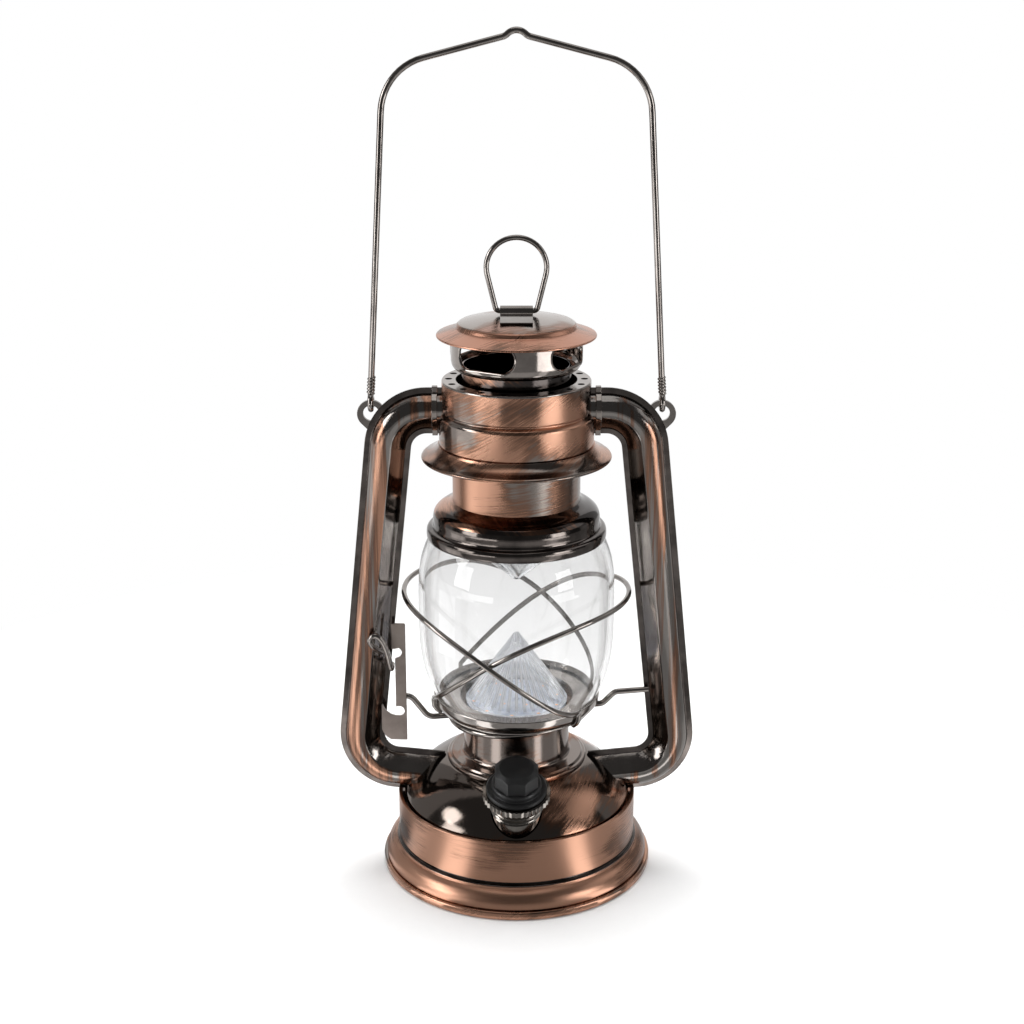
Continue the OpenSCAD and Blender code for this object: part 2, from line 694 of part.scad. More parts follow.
// Collars round the upper ends of the tubes
module tube_ferrules() {
  ferrule_l = 2.4;
  grow = 0.9;
  place = band_r + slip;
  mid = tube_w / 2;
  function section(g) = concat(
    [for (p = half_outer()) [p[0] + bend_r + g * sign(p[0] - mid), p[1] + g]],
    [for (p = reversed(half_outer())) [p[0] + bend_r + g * sign(p[0] - mid), -p[1] - g]]);
  color("#3c3836") for (m = [0, 1]) mirror([m, 0, 0])
    translate([-place, 0, tube_high_z]) rotate([90, 0, 0]) rotate([0, 0, 90]) difference() {
      translate([0, ferrule_l, 0]) rotate([90, 0, 0]) linear_extrude(ferrule_l) polygon(section(grow));
      translate([0, 2 * ferrule_l, 0]) rotate([90, 0, 0]) linear_extrude(3 * ferrule_l) polygon(section(snug));
    }
}

// Bail and its ears

ear_t = 1.6;
ear_r = 6.8;
ear_rim = 2;
ear_angle = 148.6;
ear_x = tube_high_x - (tube_out + 0.6) * cos(ear_angle);
ear_z = tube_high_z + (tube_out + 0.6) * sin(ear_angle);
hole_z = ear_z + ear_r - ear_rim - ear_hole_r;
eye_z = ear_z + ear_r - ear_rim / 2;
eye_wire = bail_wire - 0.1;
eye_r = 1.7 + eye_wire;

module ear() {
  color("#3b3a39") difference() {
    translate([-ear_x, ear_t / 2, ear_z]) rotate([90, 0, 0]) cylinder(r = ear_r, h = ear_t);
    translate([-ear_x, ear_t, hole_z]) rotate([90, 0, 0]) cylinder(r = ear_hole_r, h = 2 * ear_t);
    translate([-tube_high_x, ear_t, tube_high_z]) rotate([90, 0, 0]) cylinder(r = tube_out + snug, h = 2 * ear_t, $fn = 128);
    translate([-tube_high_x, 0, tube_high_z]) rotate([90, 0, 0]) rotate([0, 0, 180 - lean])
      translate([0, 0, -ear_t]) cube([tube_out + snug, 40, 2 * ear_t]);
  }
}

module ear_left() { ear(); }
module ear_right() { mirror([1, 0, 0]) ear(); }

// Carrying bail: two eyes round the ears, two legs, two shoulders and a peak
module bail() {
  notch_r = 4;
  peak_r = 5;
  peak_turn = 44;
  wide = ear_x - bail_shoulder * (cos(bail_lean) - sin(bail_slope)) - notch_r * (sin(peak_turn) - sin(bail_slope))
    - peak_r * sin(peak_turn);
  high = bail_h - eye_r - bail_shoulder * (cos(bail_slope) - sin(bail_lean))
    - notch_r * (cos(bail_slope) - cos(peak_turn)) - peak_r * (1 - cos(peak_turn));
  leg = (high * cos(bail_slope) - wide * sin(bail_slope)) / cos(bail_lean + bail_slope);
  top = (wide * cos(bail_lean) - high * sin(bail_lean)) / cos(bail_lean + bail_slope);
  shoulder = [bail_shoulder, bail_slope + bail_lean - 90];
  notch = [notch_r, peak_turn - bail_slope];
  steps = [[leg], shoulder, [top], notch, [peak_r, -2 * peak_turn], notch, [top], shoulder, [leg]];
  color("#39383a") union() {
    tube_along(spread(trace(steps, [-ear_x, eye_z + eye_r], 90 - bail_lean), 0), bail_wire, 12, [0, 1, 0]);
    for (x = [-ear_x, ear_x])
      translate([x, 0, eye_z]) rotate([0, 90, 0]) rotate_extrude() translate([eye_r, 0]) circle(r = eye_wire, $fn = 32);
  }
}

// Crown

ledge_t = sheet;
guide_t = sheet;
crown_wall = 1;

// Drum of the crown: a wider lower band with a rounded shoulder, a groove and the upper band
module crown_body() {
  groove = 0.6;
  low = crown_z + guide_t;
  high = crown_top - ledge_t;
  shoulder = 1.9;
  color("#9a6a4a") rotate_extrude() polygon(concat(
    [[band_r - crown_wall, low], [band_r - 0.4, low], [band_r, low + 0.8]],
    arc(band_r - shoulder, band_z - 0.3 - shoulder, shoulder, 0, 70, 6),
    [[crown_r - groove, band_z], [crown_r - groove, band_z + 0.6], [crown_r, band_z + 1.2],
     [crown_r, high], [crown_r - crown_wall, high], [crown_r - crown_wall - groove, band_z],
     [band_r - crown_wall, band_z - shoulder - 1]]));
}

module crown_ledge() {
  hole_r = 1.2;
  row_r = (ledge_hole_r + crown_r) / 2;
  color("#8a8683") difference() {
    rotate_extrude() polygon([[ledge_hole_r, crown_top - ledge_t], [crown_r, crown_top - ledge_t],
      [crown_r, crown_top - 0.4], [crown_r - 0.4, crown_top], [ledge_hole_r, crown_top]]);
    for (i = [0 : ledge_holes - 1]) rotate([0, 0, 360 * i / ledge_holes])
      translate([row_r, 0, crown_top - 2 * ledge_t]) cylinder(r = hole_r, h = 3 * ledge_t, $fn = 24);
  }
}

// Skirt under the crown, with the plate that guides the chimney tube
module crown_skirt() {
  drop = 4.2;
  lip = 1;
  run = skirt_r - band_r;
  color("#8f6a52") rotate_extrude() polygon([
    [chimney_r + slip, crown_z], [band_r - 0.3, crown_z], [band_r + run * 0.12, crown_z - drop * 0.5],
    [band_r + run * 0.4, crown_z - drop * 0.8], [skirt_r - 0.6, crown_z - drop], [skirt_r - 0.4, crown_z - drop - lip],
    [skirt_r, crown_z - drop - lip + 0.4], [skirt_r - 0.2, crown_z - drop + 0.6],
    [band_r + run * 0.45, crown_z - drop * 0.8 + guide_t], [band_r + run * 0.2, crown_z - drop * 0.5 + guide_t],
    [band_r + 0.4, crown_z + guide_t], [chimney_r + slip, crown_z + guide_t]]);
}

// Globe carrier

guard_feet = 31;
foot_gap = gallery_r + guard_wire + snug;
lever_y = 2.6;
loop_r = 28;
lever_z = hub_z - 0.8;
lever_tilt = 4.8;

// Gallery: a shallow ring that carries the globe, with a hub, two lift lugs and slots for the lever
module gallery() {
  wall_in = gallery_r - sheet;
  skirt_z = floor_z - skirt_drop;
  lug_w = 4;
  lug_z = lever_z + lever_wire + slip + 0.1;
  slot_w = 2 * lever_wire + 1.4;
  slot_y = -lever_y - slot_w / 2;
  right_slot = floor_z - 0.9;
  color("#5f5954") difference() {
    union() {
      rotate_extrude() polygon([
        [hub_r - sheet, hub_z], [hub_r, hub_z], [hub_r, floor_z], [wall_in, floor_z], [wall_in, skirt_z],
        [gallery_r - 0.5, skirt_z], [gallery_r - 0.1, skirt_z + 0.5], [gallery_r - 0.1, floor_z - 2], [gallery_r, floor_z - 1.5],
        [gallery_r, gallery_rim - 0.3], [gallery_r - 0.3, gallery_rim], [wall_in, gallery_rim], [wall_in, globe_z],
        [hub_r - sheet, globe_z]]);
      for (y = [-loop_r, loop_r])
        translate([-lug_w / 2, y - sheet / 2, lug_z]) cube([lug_w, sheet, floor_z - lug_z]);
    }
    translate([-gallery_r - 1, slot_y, skirt_z - 1]) cube([gallery_r - loop_r, slot_w, floor_z - skirt_z + 1]);
    translate([loop_r + 1, slot_y, skirt_z - 1]) cube([gallery_r - loop_r, slot_w, right_slot - skirt_z + 1]);
  }
}

// Glass globe, with one arc below its widest place and one above it
function globe_line(inset) =
  let (low_drop = globe_r - globe_low_r, high = globe_h - globe_belly, high_drop = globe_r - globe_top_r,
       low_curve = (globe_belly * globe_belly + low_drop * low_drop) / (2 * low_drop),
       high_curve = (high * high + high_drop * high_drop) / (2 * high_drop),
       mid = globe_z + globe_belly)
  concat(
    arc(globe_r - low_curve, mid, low_curve - inset, -asin(globe_belly / low_curve), 0, 12),
    [for (p = arc(globe_r - high_curve, mid, high_curve - inset, 0, asin(high / high_curve), 10)) if (p[1] > mid) p]);
module globe() {
  level = function (line) [for (i = [0 : len(line) - 1])
    [line[i][0], i == 0 ? globe_z : i == len(line) - 1 ? globe_top : line[i][1]]];
  color("#dfe5e8", 0.35) rotate_extrude() polygon(concat(level(globe_line(0)), reversed(level(globe_line(glass_t)))));
}

// Guard wire: a hoop open at its feet, which stand on the outside of the gallery.
// Its height follows one smooth curve through the feet, the crossing and the far end.
foot_rise = 0.8;
guard_a = foot_gap * cos(guard_feet);
guard_q = foot_gap * sin(guard_feet);
function guard_height(p) =
  let (a = guard_a, b = -guard_reach)
  gallery_rim + foot_rise * p * (p - b) / (a * (a - b)) + guard_cross * (p - a) * (p - b) / (a * b)
    + guard_high * p * (p - a) / (b * (b - a));
function guard_point(r, t, from) =
  let (shift = guard_reach - r, foot = norm([guard_a + shift, guard_q]),
       near = pow((1 + cos(t)) / (1 + cos(from)), 4), s = r - (r - foot) * near, p = s * cos(t) - shift)
  [p, s * sin(t), guard_height(p)];
module guard(r) {
  from = atan2(guard_q, guard_a + guard_reach - r);
  steps = 44;
  foot_z = floor_z - skirt_drop + 1;
  path = [for (i = [0 : steps]) guard_point(r, from + (360 - 2 * from) * i / steps, from)];
  tube_along(concat([[guard_a, guard_q, foot_z], [guard_a, guard_q, gallery_rim - foot_rise]], path,
    [[guard_a, -guard_q, gallery_rim - foot_rise], [guard_a, -guard_q, foot_z]]), guard_wire, 8, [1, 0, 0]);
}

module guard_left() { color("#3a393b") rotate([0, 0, 180 - guard_turn]) guard(guard_r); }
module guard_right() { color("#3a393b") rotate([0, 0, -guard_turn]) guard(guard_r + 2 * guard_wire + 3 * slip); }

// Lift lever: a loop round the neck below the gallery, an arm that ends in the pivot pin, and one to the plate.
// It lies in its own frame, tilted about the middle of the loop.
module lever_frame() {
  translate([0, 0, lever_z]) rotate([0, -lever_tilt, 0]) children();
}
module lift_lever() {
  knee = 3;
  pin_l = 6.4;
  lead = 7;
  rise = 42;
  far = pivot_x * cos(lever_tilt) + (pivot_z - lever_z) * sin(lever_tilt);
  climb = (pivot_z - lever_z) * cos(lever_tilt) - pivot_x * sin(lever_tilt);
  slant = (climb - 2 * knee * (1 - cos(rise))) / sin(rise);
  reach = far - loop_r - lead - 2 * knee * sin(rise) - slant * cos(rise);
  left_rise = 58;
  left_climb = 10.5;
  left_slant = (left_climb - 2 * knee * (1 - cos(left_rise))) / sin(left_rise);
  left_reach = plate_x + 2.5 - loop_r - lead - 2 * knee * sin(left_rise) - left_slant * cos(left_rise);
  right_arm = trace([[lead], [knee, rise], [slant], [knee, -rise], [reach]], [loop_r, 0], 0);
  left_arm = trace([[lead], [knee, left_rise], [left_slant], [knee, -left_rise], [left_reach]], [loop_r, 0], 0);
  color("#39383a") lever_frame() union() {
    rotate_extrude($fn = 96) translate([loop_r, 0]) circle(r = lever_wire, $fn = 32);
    tube_along(spread(right_arm, -lever_y), lever_wire - snug, 12, [0, 1, 0]);
    translate([far, -lever_y - lever_wire, climb]) rotate([-90, 0, 0]) cylinder(r = lever_wire, h = pin_l, $fn = 32);
    rotate([0, 0, 180]) tube_along(spread(left_arm, lever_y), lever_wire - snug, 12, [0, 1, 0]);
  }
}

// Notched plate on the lever's left end; its slot opens to the tube
module latch_plate() {
  back = lever_y + lever_wire + snug;
  plate_h = 52.8;
  slot_h = 30.4;
  low = neck_top - plate_h / 4;
  high = low + plate_h;
  slot_low = low + 11.2;
  slot_high = slot_low + slot_h;
  strip = plate_x + 3.6;
  arm = plate_x + 8;
  color("#403e3e") translate([0, -back, 0]) rotate([90, 0, 0]) linear_extrude(plate_t) polygon([
    [-plate_x, low], [-plate_x, high - 1], [-plate_x - 1, high], [-strip - 1.5, high], [-arm + 1, high - 3],
    [-arm + 1, slot_high + 1], [-arm + 1.5, slot_high], [-strip, slot_high],
    [-plate_x - 1.4, slot_high - 1.6], [-strip, slot_high - 4],
    [-strip, slot_low + 4], [-plate_x - 1.6, slot_low + 2.8], [-plate_x - 1.4, slot_low + 1.4],
    [-plate_x - 2.2, slot_low + 0.3], [-strip - 0.8, slot_low], [-arm + 1.8, slot_low - 0.6],
    [-arm + 0.6, slot_low - 2], [-arm, low + 4], [-arm + 1.4, low + 1], [-arm + 3, low]]);
}

// Hook on the left tube: its tip goes back through the plate's slot
module latch_hook() {
  tip = [-plate_x - 5, -2.2, neck_top + 20.3];
  back = [-tube_low_x - 6.6, -4.5, neck_top + 26.7];
  color("#4a484a") tube_along(rounded(rounded([back, back + [-3.6, -4.1, 4], back + [-4.8, -4.9, 7.5],
    back + [-2.1, -5.1, 10], back + [0.9, -4.9, 7], back + [2.9, -4.5, 1],
    tip + [-0.2, -6.4, 1.4], tip + [0, -5.4, 0], tip])), hook_wire, 8, [0, 0, 1]);
}

// Hood and chimney

chimney_top = crown_z - 1;

// Hood over the globe, with a rolled rim
module hood() {
  shoulder = hood_r - 2.7;
  neck_in = chimney_r + snug;
  top_w = shoulder - neck_in;
  color("#5e5a58") rotate_extrude() polygon([
    [hood_r - 0.7, hood_z], [hood_r, hood_z + 0.8], [hood_r, hood_z + 3.3], [hood_r - 0.7, hood_z + 4.3],
    [hood_r - 2, hood_z + 4.9], [shoulder + 0.1, hood_z + 6.1], [shoulder, hood_top - 6],
    [shoulder - top_w * 0.09, hood_top - 3.5], [shoulder - top_w * 0.33, hood_top - 1.6],
    [shoulder - top_w * 0.75, hood_top - 0.3], [neck_in, hood_top], [neck_in, hood_top - sheet],
    [shoulder - top_w * 0.77, hood_top - sheet - 0.3], [shoulder - top_w * 0.38, hood_top - 2.3],
    [shoulder - top_w * 0.17, hood_top - 3.9], [shoulder - sheet, hood_top - 6.1],
    [shoulder - sheet + 0.1, hood_z + 5.9], [hood_r - 2.6, hood_z + 4.3], [hood_r - 1.2, hood_z + 3.7],
    [hood_r - sheet, hood_z + 3], [hood_r - sheet, hood_z + 1.1], [hood_r - 1.2, hood_z + 0.6]]);
}

// Tube that slides in the crown's skirt, with a shoulder that carries the draught tube
module chimney_tube() {
  low = hood_top - 3;
  color("#6b5548") rotate_extrude() polygon([
    [chimney_r - sheet, low], [chimney_r, low], [chimney_r, chimney_top - 0.3], [chimney_r - 0.3, chimney_top],
    [draught_r + snug, chimney_top], [draught_r + snug, chimney_top - sheet], [chimney_r - sheet, chimney_top - sheet]]);
}

module draught_tube() {
  color("#4c4744") ring(draught_r, draught_r - sheet, chimney_top - 1.6, vent_z + 1.5 - chimney_top + 1.6);
}

// Clear cone that hangs from the hood and throws the light down
module top_reflector() {
  depth = 24.3;
  rim = globe_top_r - glass_t - 0.8;
  flange = hood_r - 3.2;
  seat = globe_top + slip;
  color("#e6ecf2", 0.6) rotate_extrude() polygon([
    [0, seat - depth], [1.2, seat - depth + 0.4], [rim, seat - 0.3], [rim, seat], [flange, seat],
    [flange, seat + 0.6], [rim - 0.8, seat + 0.6], [0.9, seat - depth + 1.9], [0, seat - depth + 1.7]]);
}

// Collar with four windows
module vent_collar() {
  window_z = vent_z + 8.3;
  first = 60;
  color("#55504d") difference() {
    rotate_extrude() polygon([
      [draught_r + snug, vent_z], [vent_r - 1.9, vent_z], [vent_r - 0.5, vent_z + 1.2], [vent_r, vent_z + 3.2],
      [vent_r, vent_top], [vent_r - sheet, vent_top], [vent_r - sheet, vent_z + 3.4],
      [vent_r - 1.1, vent_z + 2], [vent_r - 2.1, vent_z + sheet], [draught_r + snug, vent_z + sheet]]);
    for (i = [0 : 3]) rotate([0, 0, first + 90 * i]) translate([0, 0, window_z]) rotate([0, 90, 0]) union() {
      for (y = [-1, 1]) translate([0, y * (window_w - window_h) / 2, 0]) cylinder(r = window_h / 2, h = 2 * vent_r);
      translate([-window_h / 2, -(window_w - window_h) / 2, 0]) cube([window_h, window_w - window_h, 2 * vent_r]);
    }
  }
}

canopy_edge = vent_top + 1.8;
canopy_top = canopy_edge + canopy_dome_h;
cap_in = 1.8;
cap_r = canopy_dome_r - cap_in;
cap_drop = canopy_dome_h - 2.2;
cap_curve = (cap_r * cap_r + cap_drop * cap_drop) / (2 * cap_drop);

// Canopy: a sloping brim and a low dome
module canopy() {
  first = 90 - asin(cap_r / cap_curve);
  color("#a0705a") rotate_extrude() polygon(concat(
    [[canopy_r - 0.5, vent_top - 1.9], [canopy_r, vent_top - 1.5], [canopy_r - 0.1, vent_top - 0.8],
     [canopy_dome_r + 0.4, vent_top + 1.5], [canopy_dome_r, canopy_edge], [canopy_dome_r - 0.7, canopy_edge + 1.4]],
    arc(0, canopy_top - cap_curve, cap_curve, first, 90, 10),
    [for (p = reversed(arc(0, canopy_top - cap_curve, cap_curve - sheet, first, 90, 10))) p],
    [[canopy_dome_r - 1.4, canopy_edge + 0.9], [canopy_dome_r - 0.7, canopy_edge - 0.4],
     [canopy_dome_r + 0.2, vent_top + 0.66], [canopy_r - 0.9, vent_top - 1.4]]));
}

ring_fit = 0.1;
pivot_up = ring_wire + 0.4;
ring_z = canopy_top + pivot_up;
ring_flare = 13.8;
ring_bend = 1.8;
ring_leg = (ring_h - ring_r - ring_r * sin(ring_flare) - ring_bend * (1 - sin(ring_flare))) / cos(ring_flare);
ring_foot = ring_r * cos(ring_flare) - ring_leg * sin(ring_flare) - ring_bend * cos(ring_flare);

// Strap on the canopy with the tunnel for the lift ring
module ring_strap() {
  strap_w = 2 * ring_foot - 0.6;
  strap_t = 0.9;
  strap_y = 15;
  ways = [0.5, strap_y / 3, strap_y * 2 / 3, strap_y];
  under = [for (y = ways) [y, 2 * snug - y * y / (2 * cap_curve)]];
  color("#4b4644") translate([-strap_w / 2, 0, 0]) difference() {
    union() {
      translate([0, 0, ring_z]) rotate([0, 90, 0]) cylinder(r = ring_wire + ring_fit + strap_t, h = strap_w);
      for (m = [0, 1]) mirror([0, m, 0]) translate([0, 0, canopy_top]) rotate([90, 0, 90]) linear_extrude(strap_w)
        polygon(concat(under, [for (p = reversed(under)) p + [0, strap_t]]));
    }
    translate([-1, 0, ring_z]) rotate([0, 90, 0]) cylinder(r = ring_wire + ring_fit, h = strap_w + 2);
    translate([-1, -ring_wire, canopy_top - 1]) cube([strap_w + 2, 2 * ring_wire, pivot_up + 1]);
    translate([-1, -4, canopy_top - 4]) cube([strap_w + 2, 8, 4 + 2 * snug]);
  }
}

// Wire ring that lifts the chimney
module lift_ring() {
  joint = 0.8;
  half = [[joint], [ring_bend, 90 - ring_flare], [ring_leg]];
  steps = concat(half, [[ring_r, 180 + 2 * ring_flare]], reversed(half));
  color("#39383a") translate([0, 0, ring_z]) union() {
    translate([-ring_foot, 0, 0]) rotate([0, 90, 0]) cylinder(r = ring_wire, h = 2 * ring_foot, $fn = 32);
    tube_along(spread(trace(steps, [ring_foot - joint, 0], 0), 0), ring_wire - snug, 12, [0, 1, 0]);
  }
}

base_plate();
tank_wall();
tank_dome();
battery_box();
battery_cells();
contact_springs();
contact_plates();
battery_door();
door_pin();
base_screws();
neck_collar();
led_holder();
led_board();
led_chips();
light_cone();
lead_red();
lead_black();
filler_neck();
knurled_ring();
dimmer_body();
dimmer_nut();
dimmer_shaft();
knob();
tube_front_left();
tube_rear_left();
tube_front_right();
tube_rear_right();
tube_ferrules();
ear_left();
ear_right();
latch_hook();
crown_body();
crown_ledge();
crown_skirt();
gallery();
globe();
guard_left();
guard_right();
lift_lever();
latch_plate();
hood();
chimney_tube();
draught_tube();
top_reflector();
vent_collar();
canopy();
ring_strap();
lift_ring();
bail();
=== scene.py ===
# %% [markdown]
# This lesson dresses a hurricane-style LED lantern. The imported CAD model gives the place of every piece,
# in metres, with the front along -Y, so each new piece is modelled where its solid already is.

# %% Load the frame
from math import asin, atan2, ceil, copysign, cos, hypot, pi, radians, sin, sqrt
import bpy
from mathutils import Matrix, Vector


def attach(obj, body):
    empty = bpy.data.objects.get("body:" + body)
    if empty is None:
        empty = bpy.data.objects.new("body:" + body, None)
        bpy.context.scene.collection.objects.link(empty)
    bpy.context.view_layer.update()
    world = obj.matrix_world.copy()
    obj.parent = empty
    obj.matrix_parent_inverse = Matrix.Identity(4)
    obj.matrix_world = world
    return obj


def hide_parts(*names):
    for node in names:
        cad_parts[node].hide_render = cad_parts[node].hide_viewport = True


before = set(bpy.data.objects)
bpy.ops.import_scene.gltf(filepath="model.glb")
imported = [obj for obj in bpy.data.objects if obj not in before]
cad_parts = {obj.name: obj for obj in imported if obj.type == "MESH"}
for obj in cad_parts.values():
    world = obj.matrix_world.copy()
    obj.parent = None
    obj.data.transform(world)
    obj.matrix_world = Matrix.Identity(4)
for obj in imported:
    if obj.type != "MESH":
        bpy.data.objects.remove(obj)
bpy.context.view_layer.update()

# %% [markdown]
# The camera comes first, so that every later step can be judged against the photograph. A pinhole fit to the
# ellipses of the lantern's rings put it 0.68 m in front and 0.37 m up, looking down by almost 18 degrees.

# %% Camera
PITCH = radians(72.209)  # 90 degrees would be level
bpy.ops.object.camera_add(location=(0, -0.680, 0.3744), rotation=(PITCH, 0, 0))
camera = bpy.context.object
camera.data.lens = 61.15
camera.data.shift_x = -0.0044
bpy.context.scene.camera = camera
bpy.context.scene.view_settings.view_transform = "Standard"
print("camera at", tuple(camera.location))

# %% [markdown]
# A material is a tree of nodes. One function adds a node of any kind, one fills its sockets, and one makes the hex
# codes of a colour picker linear for the renderer.

# %% Node helpers
def linear(hexa):
    parts = [int(hexa[i:i + 2], 16) / 255 for i in (1, 3, 5)]
    return [c / 12.92 if c <= 0.04045 else ((c + 0.055) / 1.055) ** 2.4 for c in parts] + [1]


def feed(tree, node, **inputs):
    """Fills sockets with values or links; Base_Color is found by its name, i0 is the first socket."""
    for key, value in inputs.items():
        numbered = key[0] == "i" and key[1:].isdigit()
        socket = node.inputs[int(key[1:]) if numbered else key.replace("_", " ")]
        if isinstance(value, bpy.types.NodeSocket):
            tree.links.new(value, socket)
        else:
            socket.default_value = value


def add(tree, kind, settings={}, stops=(), out=0, **inputs):
    """Adds one node and gives back its output: the first, the one of that name, or all for None.
    settings are the node's own values, stops the marks of a colour ramp."""
    made = tree.nodes.new("ShaderNode" + kind)
    for place, colour in stops:
        marks = made.color_ramp.elements
        mark = marks[0] if place == stops[0][0] else marks[-1] if place == stops[-1][0] else marks.new(place)
        mark.position, mark.color = place, linear(colour)
    for key, value in settings.items():
        setattr(made, key, value)
    feed(tree, made, **inputs)
    return made.outputs if out is None else made.outputs[out]


print("middle grey is", round(linear("#808080")[0], 3), "in linear light")

# %% [markdown]
# A white studio: the floor and the world are white to the camera and in reflections, and dimmer as light. Near the
# lantern the floor is plain paint that the lamps have to reach, so it keeps a shadow; further out it fades to white.

# %% World and floor
WHITE = (1, 1, 1, 1)


def seen_rays(tree):
    """1 for what is seen, directly, mirrored or through glass; 0 for what only gives light."""
    rays = add(tree, "LightPath", out=None)
    bare = add(tree, "Math", {"operation": "MAXIMUM"}, i0=rays["Is Camera Ray"], i1=rays["Is Glossy Ray"])
    return add(tree, "Math", {"operation": "MAXIMUM"}, i0=bare, i1=rays["Is Transmission Ray"])


def blank(name):
    """A material with an empty tree, but for the object coordinates."""
    made = bpy.data.materials.new(name)
    made.use_nodes = True
    tree = made.node_tree
    tree.nodes.clear()
    return made, tree, add(tree, "TexCoord", out="Object")


world = bpy.data.worlds.new("white_studio")
bpy.context.scene.world = world
world.use_nodes = True
sky = world.node_tree
sky.nodes.clear()
level = add(sky, "MapRange", To_Min=0.75, To_Max=1.0, Value=seen_rays(sky))
glow = add(sky, "Background", Color=WHITE, Strength=level)
add(sky, "OutputWorld", out=None, Surface=glow)

bpy.ops.mesh.primitive_plane_add(size=6, location=(0, 0, -0.0002))
floor = bpy.context.object
floor.name = "studio_floor"
paper, tree, place = blank("white_paper_floor")
fibre = add(tree, "TexNoise", Vector=place, Scale=300.0)
tone = add(tree, "MapRange", Value=fibre, To_Min=0.80, To_Max=0.82)
coat = add(tree, "BsdfDiffuse", Color=tone)
near = add(tree, "Emission", Color=WHITE, Strength=0.06)
far = add(tree, "Emission", Color=WHITE, Strength=1.0)
lit = add(tree, "AddShader", i0=coat, i1=near)
away = add(tree, "VectorMath", {"operation": "LENGTH"}, out="Value", i0=place)
fade = add(tree, "MapRange", Value=away, From_Min=0.15, From_Max=0.4)
blend = add(tree, "MixShader", Fac=fade, i1=lit, i2=far)
paint = add(tree, "MixShader", Fac=seen_rays(tree), i1=coat, i2=blend)
add(tree, "OutputMaterial", out=None, Surface=paint)
floor.data.materials.append(paper)
print("floor", tuple(floor.dimensions))

# %% [markdown]
# A soft box on each side makes small highlights. A large one above, a little behind the lantern, makes its soft
# shadow and is kept out of reflections.

# %% Soft boxes
def soft_box(name, place, width, height, watts, mirrored=True):
    bpy.ops.object.light_add(type="AREA", location=place)
    box = bpy.context.object
    box.name = name
    box.data.shape = "ELLIPSE"
    box.data.size, box.data.size_y, box.data.energy = width, height, watts
    aim = Vector((0, 0, 0.05)) - Vector(place)
    box.rotation_euler = aim.to_track_quat("-Z", "Y").to_euler()
    box.visible_glossy = mirrored


soft_box("left_box", (-0.97, -0.23, 0.66), 0.38, 0.36, 2.2)
soft_box("right_box", (0.89, 0, 0.69), 0.8, 0.5, 0.6)
soft_box("top_box", (0, 0.3, 1.25), 0.9, 0.7, 16, mirrored=False)
print("lamps:", len(bpy.data.lights))

# %% [markdown]
# Nearly everything starts as a line: one vertex, extruded from point to point. From here on measures are in
# millimetres, as in the workshop.

# %% Drawing a line
MM = 0.001


def mode(name):
    bpy.ops.object.mode_set(mode=name)


def clear_selection():
    if bpy.context.object and bpy.context.object.mode != "OBJECT":
        mode("OBJECT")
    bpy.ops.object.select_all(action="DESELECT")


def push(step):
    """Extrudes what is selected by one step, in metres."""
    bpy.ops.mesh.extrude_region_move(TRANSFORM_OT_translate={"value": step})


def draw(name, points):
    """A line through points in mm; leaves it in edit mode, all selected."""
    clear_selection()
    points = [Vector(p) * MM for p in points]
    bpy.ops.mesh.primitive_plane_add(size=MM, location=points[0])
    piece = bpy.context.object
    piece.name = piece.data.name = name
    bpy.ops.object.transform_apply()
    mode("EDIT")
    bpy.ops.mesh.select_mode(type="VERT")
    bpy.ops.mesh.select_all(action="SELECT")
    bpy.ops.mesh.merge(type="CENTER")
    for a, b in zip(points, points[1:]):
        push(b - a)
    bpy.ops.mesh.select_all(action="SELECT")
    return piece


print("one millimetre is", MM, "m")

# %% [markdown]
# Polished metal is only as dark or bright as what it has to show. Grey cards stand round the lantern, with two tall
# bright strips between them, and rings of light and dark lie on the ground. Only reflections can see them.

# %% Reflection cards
def card(name, line, start, end, tone):
    """A line of [distance, height] points, spun round the lantern; 0 degrees is the front, 90 the right."""
    turn = radians(start)
    piece = draw(name, [(r * sin(turn), -r * cos(turn), z) for r, z in line])
    bpy.ops.mesh.spin(steps=12, angle=radians(end - start), center=(0, 0, 0), axis=(0, 0, -1))
    mode("OBJECT")
    piece.visible_camera = piece.visible_diffuse = piece.visible_shadow = piece.visible_transmission = False
    felt, tree, place = blank(name + "_felt")
    nap = add(tree, "TexNoise", Vector=place, Scale=900.0)
    shade = add(tree, "MapRange", Value=nap, To_Min=tone * 0.9, To_Max=tone * 1.1)
    grey = add(tree, "Emission", Color=WHITE, Strength=shade)
    add(tree, "OutputMaterial", out=None, Surface=grey)
    piece.data.materials.append(felt)


upright = [(1600, 2), (1600, 1400), (1200, 1700), (600, 1800)]
for name, start, end, tone in (("front", -95, 95, 0.08), ("left", -150, -95, 0.4), ("right", 95, 150, 0.35)):
    card(name + "_card", upright, start, end, tone)
card("left_strip", [(1500, 60), (1500, 760)], -76, -55, 5.5)
card("right_strip", [(1500, 60), (1500, 640)], 48, 68, 5.0)
rings = {"near": (58.5, 250), "middle": (250, 660), "far": (660, 780), "horizon": (780, 1600)}
